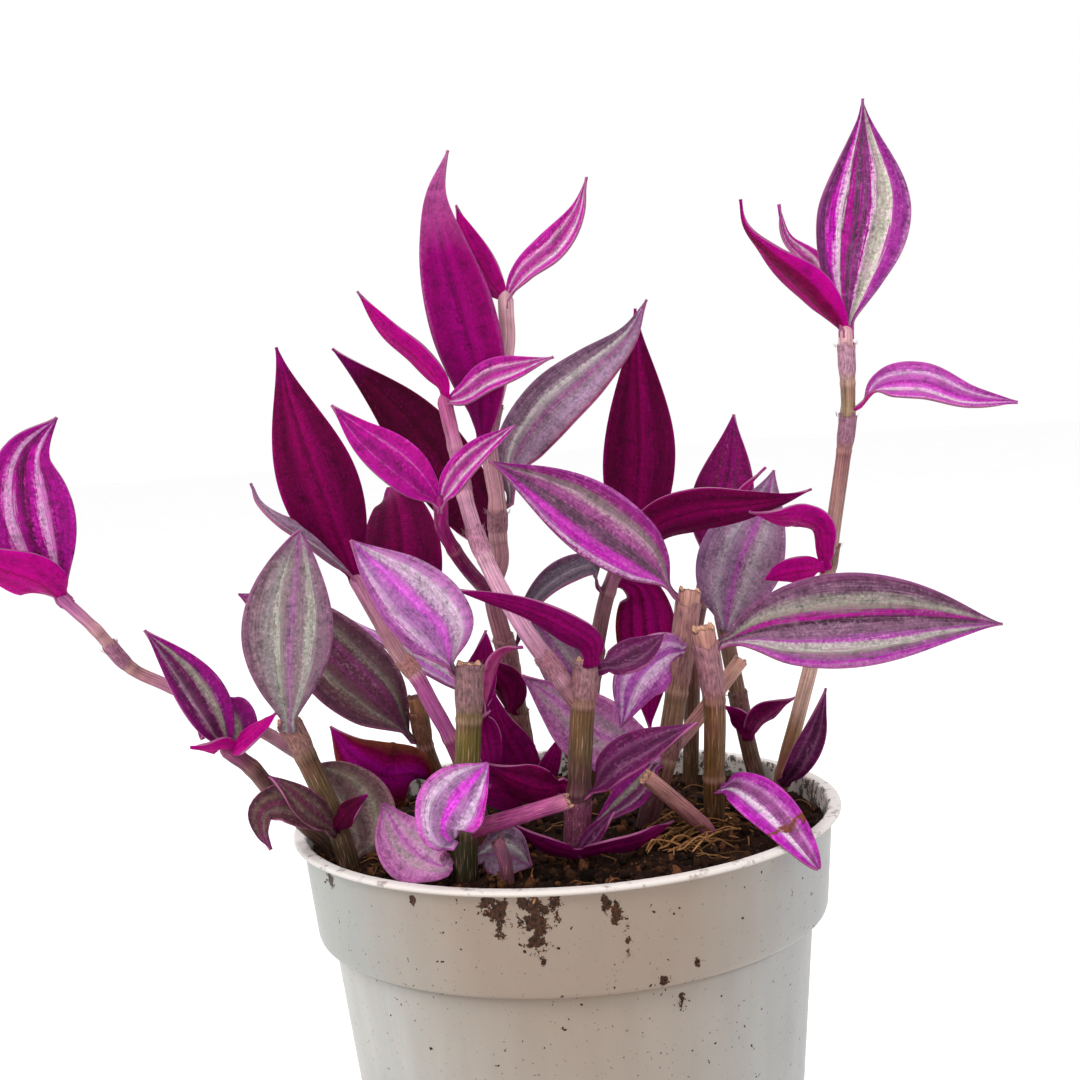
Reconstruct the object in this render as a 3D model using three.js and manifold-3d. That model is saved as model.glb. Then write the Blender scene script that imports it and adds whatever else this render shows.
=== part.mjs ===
// Potted tradescantia: a nursery pot of soil with cut stubs, leafy shoots and striped leaves.
// Millimetres, +Z up. The origin is the centre of the pot's underside, and -Y is the front.

import * as THREE from 'three';
import { mergeVertices } from 'three/addons/utils/BufferGeometryUtils.js';
import Module from 'manifold-3d';

const wasm = await Module();
wasm.setup();

// Pot
const potHeight = 108;
const lipRadius = 60;
const lipThickness = 1.2;
const mouthRadius = 57;
const bandTopRadius = 58;
const bandFootRadius = 56.1;
const bandDepth = 22.5;
const bandEdge = 1.6;
const bodyTopRadius = 52.9;
const bodyTaper = 0.1;
const wall = 1.1;
const floorThickness = 2;
const potSides = 48;
const drainHoles = 6;
const drainRadius = 3.5;
const drainCircle = 29;

// Soil
const soilGap = 0.35;
const soilLevel = 103.6;
const soilRings = [13, 27, 41];
const rootDepth = 13;
const rootPull = 0.95;
const holeGap = 0.35;

// Stems and leaves
const stemSides = 7;
const ringSpacing = 11;
const nodeSwell = 1.16;
const nodeHalf = 1.5;
const bladeThickness = 0.8;
const seatGap = 1.1;
const budRadius = 1.7;
const broadLeaf = 11;
const baseSwing = 0.9;

// The view from which places are given: a place is a picture point and a depth behind the pot's axis.
const view = { distance: 380, elevation: 14.63, roll: -3.86, yaw: -0.285, pitch: 9, lens: 1698, centre: 540 };

const radians = THREE.MathUtils.degToRad;

function makeCamera() {
  const rise = radians(view.elevation);
  const arm = new THREE.Vector3(0, -Math.cos(rise), Math.sin(rise)).multiplyScalar(view.distance);
  const zenith = new THREE.Vector3(0, 0, 1);
  const straight = arm.clone().normalize().negate();
  const level = new THREE.Vector3().crossVectors(straight, zenith).normalize();
  const above = new THREE.Vector3().crossVectors(level, straight);
  const ahead = straight.clone().addScaledVector(level, Math.tan(radians(view.yaw)));
  ahead.addScaledVector(above, Math.tan(radians(view.pitch))).normalize();
  const flat = new THREE.Vector3().crossVectors(ahead, zenith).normalize();
  const top = new THREE.Vector3().crossVectors(flat, ahead);
  const roll = radians(view.roll);
  const right = flat.clone().multiplyScalar(Math.cos(roll)).addScaledVector(top, Math.sin(roll));
  const up = top.clone().multiplyScalar(Math.cos(roll)).addScaledVector(flat, -Math.sin(roll));
  return { eye: arm.setZ(arm.z + potHeight), ahead, right, up };
}

const camera = makeCamera();

function seen(across, down, depth) {
  const ray = camera.ahead.clone();
  ray.addScaledVector(camera.right, (across - view.centre) / view.lens);
  ray.addScaledVector(camera.up, (view.centre - down) / view.lens);
  return camera.eye.clone().addScaledVector(ray, (depth - camera.eye.y) / ray.y);
}

function pictured(point) {
  const arm = point.clone().sub(camera.eye);
  const far = arm.dot(camera.ahead);
  const across = view.centre + view.lens * arm.dot(camera.right) / far;
  const down = view.centre - view.lens * arm.dot(camera.up) / far;
  return [across, down];
}

// Closed meshes from rings of points: every ring has the same count, with a fan at each end.
function loft(rings, first, last, ringSplit) {
  const points = rings.flat();
  const count = rings[0].length;
  const faces = [];
  for (let ring = 0; ring + 1 < rings.length; ring += 1) {
    for (let side = 0; side < count; side += 1) {
      const next = (side + 1) % count;
      const a = ring * count + side;
      const b = ring * count + next;
      const c = a + count;
      const d = b + count;
      if (ringSplit(side)) {
        faces.push(a, b, d, a, d, c);
      } else {
        faces.push(a, b, c, b, d, c);
      }
    }
  }
  const lastRing = (rings.length - 1) * count;
  points.push(first, last);
  for (let side = 0; side < count; side += 1) {
    const next = (side + 1) % count;
    faces.push(points.length - 2, next, side);
    faces.push(points.length - 1, lastRing + side, lastRing + next);
  }
  const geometry = new THREE.BufferGeometry();
  geometry.setAttribute('position', new THREE.Float32BufferAttribute(points.flatMap((p) => p.toArray()), 3));
  geometry.setIndex(faces);
  return geometry;
}

function toSolid(geometry) {
  const bare = geometry.clone();
  bare.deleteAttribute('normal');
  bare.deleteAttribute('uv');
  const merged = mergeVertices(bare, 1e-4);
  const solid = new wasm.Manifold(new wasm.Mesh({
    numProp: 3,
    vertProperties: new Float32Array(merged.attributes.position.array),
    triVerts: new Uint32Array(merged.index.array),
  }));
  return solid.volume() < 0 ? toSolid(flipped(merged)) : solid;
}

function flipped(geometry) {
  const turned = geometry.clone();
  const index = Array.from(turned.index.array);
  for (let face = 0; face < index.length; face += 3) {
    [index[face], index[face + 1]] = [index[face + 1], index[face]];
  }
  turned.setIndex(index);
  return turned;
}

function toGeometry(solid) {
  const mesh = solid.getMesh();
  const geometry = new THREE.BufferGeometry();
  geometry.setAttribute('position', new THREE.Float32BufferAttribute(mesh.vertProperties, 3));
  geometry.setIndex(Array.from(mesh.triVerts));
  return geometry;
}

// Pot: one lathed wall, from the floor's middle, up the outside, over the lip and down the inside.
function potSolid() {
  const bandFoot = potHeight - bandDepth;
  const bodyRadius = (z) => bodyTopRadius - bodyTaper * (bandFoot - z);
  const outside = [
    [0, 0], [bodyRadius(0) - 1, 0], [bodyRadius(1), 1], [bodyRadius(bandFoot), bandFoot],
    [bandFootRadius - bandEdge, bandFoot], [bandFootRadius - 0.3 * bandEdge, bandFoot + 0.3 * bandEdge],
    [bandFootRadius, bandFoot + bandEdge], [bandTopRadius, potHeight - lipThickness],
    [lipRadius - 0.3, potHeight - lipThickness], [lipRadius, potHeight - 0.6 * lipThickness],
    [lipRadius - 0.3, potHeight],
  ];
  const inside = [
    [mouthRadius + 0.4, potHeight], [mouthRadius, potHeight - 0.5],
    [bandFootRadius - wall, bandFoot + 2 * bandEdge], [bodyTopRadius - wall, bandFoot - bandEdge],
    [bodyRadius(floorThickness) - wall, floorThickness], [0, floorThickness],
  ];
  const profile = [...outside, ...inside].map(([radius, z]) => new THREE.Vector2(radius, z));
  const lathe = new THREE.LatheGeometry(profile, potSides).rotateX(Math.PI / 2);
  let solid = toSolid(lathe);
  for (let hole = 0; hole < drainHoles; hole += 1) {
    const angle = (hole + 0.5) * 2 * Math.PI / drainHoles;
    const plug = new THREE.CylinderGeometry(drainRadius, drainRadius, 3 * floorThickness, 12);
    plug.rotateX(Math.PI / 2);
    plug.translate(drainCircle * Math.cos(angle), drainCircle * Math.sin(angle), floorThickness / 2);
    solid = solid.subtract(toSolid(plug));
  }
  return solid;
}

// Soil: a ball that fills the pot, with a rolling top that rises to the front.
function soilTop(x, y) {
  const mound = 1.6 * Math.exp(-((x - 20) ** 2 + (y + 26) ** 2) / 450);
  return soilLevel - 0.028 * y + mound + 0.45 * Math.sin(x / 6 + 1) * Math.sin(y / 5);
}

function soilSolid(stems) {
  const bandFoot = potHeight - bandDepth;
  const floorZ = floorThickness + soilGap;
  const bottomRadius = bodyTopRadius - bodyTaper * (bandFoot - floorZ) - wall - 2 * soilGap;
  const shoulder = bodyTopRadius - wall - 2 * soilGap;
  const edge = bandFootRadius - wall - 2 * soilGap;
  const rimRadius = mouthRadius - 3 * soilGap;
  const circle = (radius, height) => Array.from({ length: potSides }, (_, side) => {
    const angle = side * 2 * Math.PI / potSides;
    const x = radius * Math.cos(angle);
    const y = radius * Math.sin(angle);
    return new THREE.Vector3(x, y, height(x, y));
  });
  const rings = [
    circle(bottomRadius, () => floorZ), circle(shoulder, () => bandFoot - bandEdge - soilGap),
    circle(edge, () => bandFoot + 2 * bandEdge + soilGap), circle(rimRadius, soilTop),
    ...soilRings.slice().reverse().map((radius) => circle(radius, soilTop)),
  ];
  const middle = new THREE.Vector3(0, 0, soilTop(0, 0));
  let solid = toSolid(loft(rings, new THREE.Vector3(0, 0, floorZ), middle, () => true));
  for (const stem of stems) {
    solid = solid.subtract(toSolid(tube(stem.trunk, holeGap, stem.trunk.holeTop)));
  }
  return solid;
}

// Stems: tubes along smooth paths with swollen nodes. The first point stands on the soil.
function stemPath(places, thick, nodes, rooted) {
  const points = places.map((place) => seen(...place));
  if (rooted) {
    const foot = points[0];
    points.unshift(new THREE.Vector3(rootPull * foot.x, rootPull * foot.y, foot.z - rootDepth));
  }
  const curve = new THREE.CatmullRomCurve3(points, false, 'centripetal');
  curve.arcLengthDivisions = 400;
  const length = curve.getLength();
  const spots = [];
  const swellings = nodes.map((node) => nearestSpot(curve, node) * length);
  const steps = Math.ceil(length / ringSpacing);
  for (let step = 0; step <= steps; step += 1) {
    const along = length * step / steps;
    if (swellings.every((spot) => Math.abs(spot - along) > 2 * nodeHalf)) {
      spots.push(along);
    }
  }
  for (const spot of swellings) {
    spots.push(spot - nodeHalf, spot, spot + nodeHalf);
  }
  const kept = spots.filter((along) => along >= 0 && along <= length).sort((a, b) => a - b);
  if (kept[0] > 0) {
    kept.unshift(0);
  }
  if (kept[kept.length - 1] < length) {
    kept.push(length);
  }
  const holeTop = rooted ? 2 * rootDepth : 0;
  return { curve, length, thick, swellings, spots: kept, holeTop };
}

function nearestSpot(curve, place) {
  let best = 0;
  let least = Infinity;
  for (let step = 0; step <= 200; step += 1) {
    const [across, down] = pictured(curve.getPointAt(step / 200));
    const miss = Math.hypot(across - place[0], down - place[1]);
    if (miss < least) {
      least = miss;
      best = step / 200;
    }
  }
  return best;
}

function stemRadius(path, along) {
  const [low, high] = path.thick;
  const plain = THREE.MathUtils.lerp(low, high, along / path.length) / 2;
  const atNode = path.swellings.some((spot) => Math.abs(spot - along) < 0.5 * nodeHalf);
  return atNode ? plain * nodeSwell : plain;
}

function tube(path, extra, upTo) {
  const ends = path.spots.filter((along) => !upTo || along <= upTo);
  if (upTo && ends.length < 2) {
    ends.push(path.spots[ends.length]);
  }
  let across = new THREE.Vector3(1, 0, 0);
  const rings = ends.map((along) => {
    const centre = path.curve.getPointAt(along / path.length);
    const tangent = path.curve.getTangentAt(along / path.length);
    across = across.clone().addScaledVector(tangent, -across.dot(tangent)).normalize();
    const other = new THREE.Vector3().crossVectors(tangent, across);
    const radius = stemRadius(path, along) + extra;
    return Array.from({ length: stemSides }, (_, side) => {
      const angle = side * 2 * Math.PI / stemSides;
      const point = centre.clone().addScaledVector(across, radius * Math.cos(angle));
      return point.addScaledVector(other, radius * Math.sin(angle));
    });
  });
  const start = path.curve.getPointAt(ends[0] / path.length);
  const end = path.curve.getPointAt(ends[ends.length - 1] / path.length);
  return loft(rings, start, end, () => true);
}

function stemOf(name, thick, nodes, places, shoots = []) {
  const trunk = stemPath(places, thick, nodes, true);
  const sides = shoots.map((shoot) => stemPath(shoot.places, shoot.thick, shoot.nodes, false));
  return { name, trunk, paths: [trunk, ...sides] };
}

const stems = [
  stemOf('stem_front_left', [5.2, 5], [[465, 830], [469, 718]],
    [[466, 886, -40], [465, 830, -40], [469, 718, -41], [469, 664, -41]],
    [{ thick: [3.6, 3.2], nodes: [], places: [[465, 832, -40], [505, 820, -43], [568, 801, -46]] }]),
  stemOf('stem_centre', [4.9, 5], [[580, 790], [581, 704]],
    [[577, 863, -29], [579, 790, -29], [583, 704, -29], [588, 661, -29]],
    [{ thick: [3.8, 3.2], nodes: [[563, 682], [485, 558], [465, 497], [456, 445]],
      places: [[581, 708, -29], [563, 682, -28], [522, 625, -22], [485, 558, -15], [465, 497, -9],
        [458, 460, -6], [447, 412, -4]] }]),
  stemOf('stem_back_tall', [5, 3.4], [[525, 748], [511, 668], [493, 590], [498, 536], [497, 505], [489, 436]],
    [[552, 806, 22], [525, 748, 22], [511, 668, 18], [493, 590, 10], [500, 560, 9], [498, 536, 8],
      [497, 500, 7], [489, 436, 5], [507, 345, 2], [506, 310, 0]],
    [{ thick: [3.4, 3], nodes: [[454, 550]],
      places: [[494, 594, 10], [484, 587, 4], [466, 567, -6], [453, 548, -11], [442, 527, -15],
        [441, 512, -17]] }]),
  stemOf('stem_right_inner', [4.8, 4.8], [[664, 762], [677, 692]],
    [[646, 832, -12], [664, 765, -11], [677, 690, -9], [690, 590, -8]],
    [{ thick: [3.4, 3.3], nodes: [], places: [[665, 756, -11], [690, 728, -2], [741, 660, 2]] }]),
  stemOf('stem_right_stub', [4.3, 4.9], [[714, 778], [714, 699]],
    [[714, 830, -11], [714, 778, -13], [714, 699, -15], [703, 628, -17]]),
  stemOf('stem_right_tall', [3.6, 3.2], [[783, 772], [829, 575], [844, 451], [848, 413], [847, 382]],
    [[779, 800, 13], [783, 772, 13], [799, 712, 12], [820, 625, 10], [834, 523, 8], [844, 451, 7],
      [848, 413, 6], [846, 342, 5]]),
  stemOf('stem_back_right', [4.2, 3.8], [[743, 722]],
    [[757, 784, 27], [750, 752, 28], [743, 722, 29], [737, 690, 30], [722, 617, 32]]),
  stemOf('stem_front_cut', [3.6, 3.5], [],
    [[708, 834, -19], [692, 816, -20], [646, 777, -23]]),
  stemOf('stem_left_stub', [4.5, 4.6], [[305, 755]],
    [[350, 868, -22], [334, 818, -21], [305, 755, -20], [287, 719, -20]],
    [{ thick: [3, 2.7], nodes: [[131, 668], [96, 630]],
      places: [[304, 756, -20], [290, 748, -14], [262, 731, -5], [166, 685, 2], [131, 668, 1],
        [96, 630, -1], [70, 606, -2]] }]),
  stemOf('stem_left_low', [3.4, 3.6], [[252, 768]],
    [[335, 855, -12], [300, 820, -13], [273, 793, -14], [252, 768, -16], [236, 756, -17]]),
  stemOf('stem_dry_stub', [3.8, 3.8], [[425, 745]],
    [[446, 806, 14], [436, 775, 13], [425, 745, 11], [416, 697, 9]]),
  stemOf('stem_pink', [3.7, 3.3], [[450, 737], [417, 677]],
    [[486, 838, -13], [470, 785, -13], [450, 737, -13], [431, 703, -13], [417, 677, -12], [396, 650, -11],
      [378, 618, -9], [362, 590, -7]]),
  stemOf('stem_front_small', [2.9, 2.7], [],
    [[508, 887, -43], [505, 862, -43], [497, 840, -42]]),
  stemOf('stem_back_middle', [4.2, 3.6], [[592, 685], [608, 592]],
    [[590, 786, 34], [591, 735, 31], [592, 685, 28], [599, 632, 25], [608, 592, 24], [619, 564, 23]]),
  stemOf('stem_back_second', [4, 3.6], [[700, 604]],
    [[690, 786, 37], [692, 710, 37], [694, 640, 37], [700, 604, 37], [707, 572, 37]]),
];

const stemByName = new Map(stems.map((stem) => [stem.name, stem]));

// Leaves: a blade follows its midrib, turned about it from squarely facing the viewer.
function perch(stemName, place, aim, from) {
  const paths = stemByName.get(stemName).paths;
  const spots = paths.map((path) => {
    const spot = nearestSpot(path.curve, place);
    const [across, down] = pictured(path.curve.getPointAt(spot));
    return { path, spot, miss: Math.hypot(across - place[0], down - place[1]) };
  });
  const { path, spot } = spots.sort((a, b) => a.miss - b.miss)[0];
  const centre = path.curve.getPointAt(spot);
  const up = path.curve.getTangentAt(spot);
  const out = from ? new THREE.Vector3(...from) : aim.clone().sub(centre);
  out.addScaledVector(up, -out.dot(up)).normalize();
  const reach = stemRadius(path, spot * path.length) + seatGap;
  return { point: centre.addScaledVector(out, reach), out, up, reach };
}

function tipOf(stemName) {
  const paths = stemByName.get(stemName).paths;
  return (side) => {
    const path = paths[side];
    const up = path.curve.getTangentAt(1);
    const centre = path.curve.getPointAt(1).addScaledVector(up, budRadius + 0.4);
    return { point: centre, out: null, up, reach: budRadius };
  };
}

function bladeWidth(t, widest, taper, neck) {
  const blade = Math.sin(Math.PI * t ** (Math.log(0.5) / Math.log(widest)));
  return Math.max(blade ** (t > widest ? taper : 1.05), neck * (1 - t / 0.3));
}

function bladeSolid(spec) {
  const { seat, midrib, width, cup, widest, taper } = spec;
  const broad = width >= broadLeaf;
  const stations = broad ? [0, 0.07, 0.18, 0.32, 0.47, 0.62, 0.77, 0.9] : [0, 0.09, 0.24, 0.44, 0.66, 0.86];
  const across = broad ? [-1, -0.5, 0, 0.5, 1] : [-1, 0, 1];
  const curve = new THREE.CatmullRomCurve3([seat.point, ...midrib], false, 'centripetal');
  const neck = Math.min(0.5, 3.6 / width);
  const rings = stations.map((t) => {
    const frame = bladeFrame(curve, t, spec);
    const half = 0.5 * width * bladeWidth(t, widest, taper, neck);
    const hug = THREE.MathUtils.smoothstep(t, 0, 0.22);
    const clasp = frame.hold * Math.min(half / seat.reach, 1.2);
    let bend = THREE.MathUtils.lerp(clasp, cup, hug);
    bend = Math.abs(bend) < 0.02 ? 0.02 : bend;
    const rows = across.map((u) => {
      const lean = bend * Math.abs(u);
      const side = Math.sign(u);
      const point = frame.centre.clone().addScaledVector(frame.side, side * half * Math.sin(lean) / bend);
      point.addScaledVector(frame.face, half * (1 - Math.cos(lean)) / bend);
      const normal = frame.face.clone().multiplyScalar(Math.cos(lean));
      normal.addScaledVector(frame.side, -side * Math.sin(lean));
      return { point, normal };
    });
    const top = rows.map(({ point, normal }) => point.clone().addScaledVector(normal, bladeThickness / 2));
    const under = rows.map(({ point, normal }) => point.clone().addScaledVector(normal, -bladeThickness / 2));
    return [...top, ...under.reverse()];
  });
  const splits = across.length - 1;
  return toSolid(loft(rings, curve.getPoint(0), curve.getPointAt(1), (side) => side < splits));
}

function bladeFrame(curve, t, { turn, seat }) {
  const centre = curve.getPointAt(t);
  const along = curve.getTangentAt(Math.max(t, 0.02));
  const facing = camera.eye.clone().sub(centre).normalize();
  facing.addScaledVector(along, -facing.dot(along)).normalize();
  const right = new THREE.Vector3().crossVectors(along, facing);
  let angle = radians(THREE.MathUtils.lerp(turn[0], turn[1], t));
  let hold = 1;
  if (seat.out) {
    const inward = seat.up.clone().multiplyScalar(0.35).sub(seat.out);
    const start = Math.atan2(inward.dot(right), inward.dot(facing));
    const swing = Math.atan2(Math.sin(start - angle), Math.cos(start - angle));
    hold = Math.abs(swing) > Math.PI / 2 ? -1 : 1;
    if (hold > 0) {
      const pull = 1 - THREE.MathUtils.smoothstep(t, 0, 0.25);
      angle += pull * THREE.MathUtils.clamp(swing, -baseSwing, baseSwing);
    }
  }
  const face = facing.clone().multiplyScalar(Math.cos(angle)).addScaledVector(right, Math.sin(angle));
  const side = new THREE.Vector3().crossVectors(along, face);
  return { centre, face, side, hold };
}

// One blade: where it sits on its stem, the midrib's places with depth from the seat, width, turn and cup.
function blade(on, at, midrib, width, turn, cup = 0.25, more = {}) {
  const first = midrib[0];
  const trial = perch(on, at, seen(first[0], first[1], 0), more.from);
  const aim = seen(first[0], first[1], trial.point.y + first[2]);
  const seat = more.tip === undefined ? perch(on, at, aim, more.from) : tipOf(on)(more.tip);
  const places = midrib.map(([across, down, depth]) => seen(across, down, seat.point.y + depth));
  const turns = Array.isArray(turn) ? turn : [turn, turn];
  const outline = { widest: more.widest ?? 0.42, taper: more.taper ?? 1.15 };
  const solid = bladeSolid({ seat, midrib: places, width, turn: turns, cup, ...outline });
  return { solid, seat };
}

function leafSolid(blades) {
  let solid = blades[0].solid;
  for (const { solid: next } of blades.slice(1)) {
    solid = solid.add(next);
  }
  const tips = blades.filter(({ seat }) => !seat.out);
  if (tips.length > 0) {
    const bud = new THREE.IcosahedronGeometry(budRadius, 1);
    bud.translate(...tips[0].seat.point.toArray());
    solid = solid.add(toSolid(bud));
  }
  return solid;
}

const silver = 0x8f7d92;
const purple = 0x9a4a94;
const magenta = 0xa3128c;
const wine = 0x5a1140;
const pink = 0xb56fb4;

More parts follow.
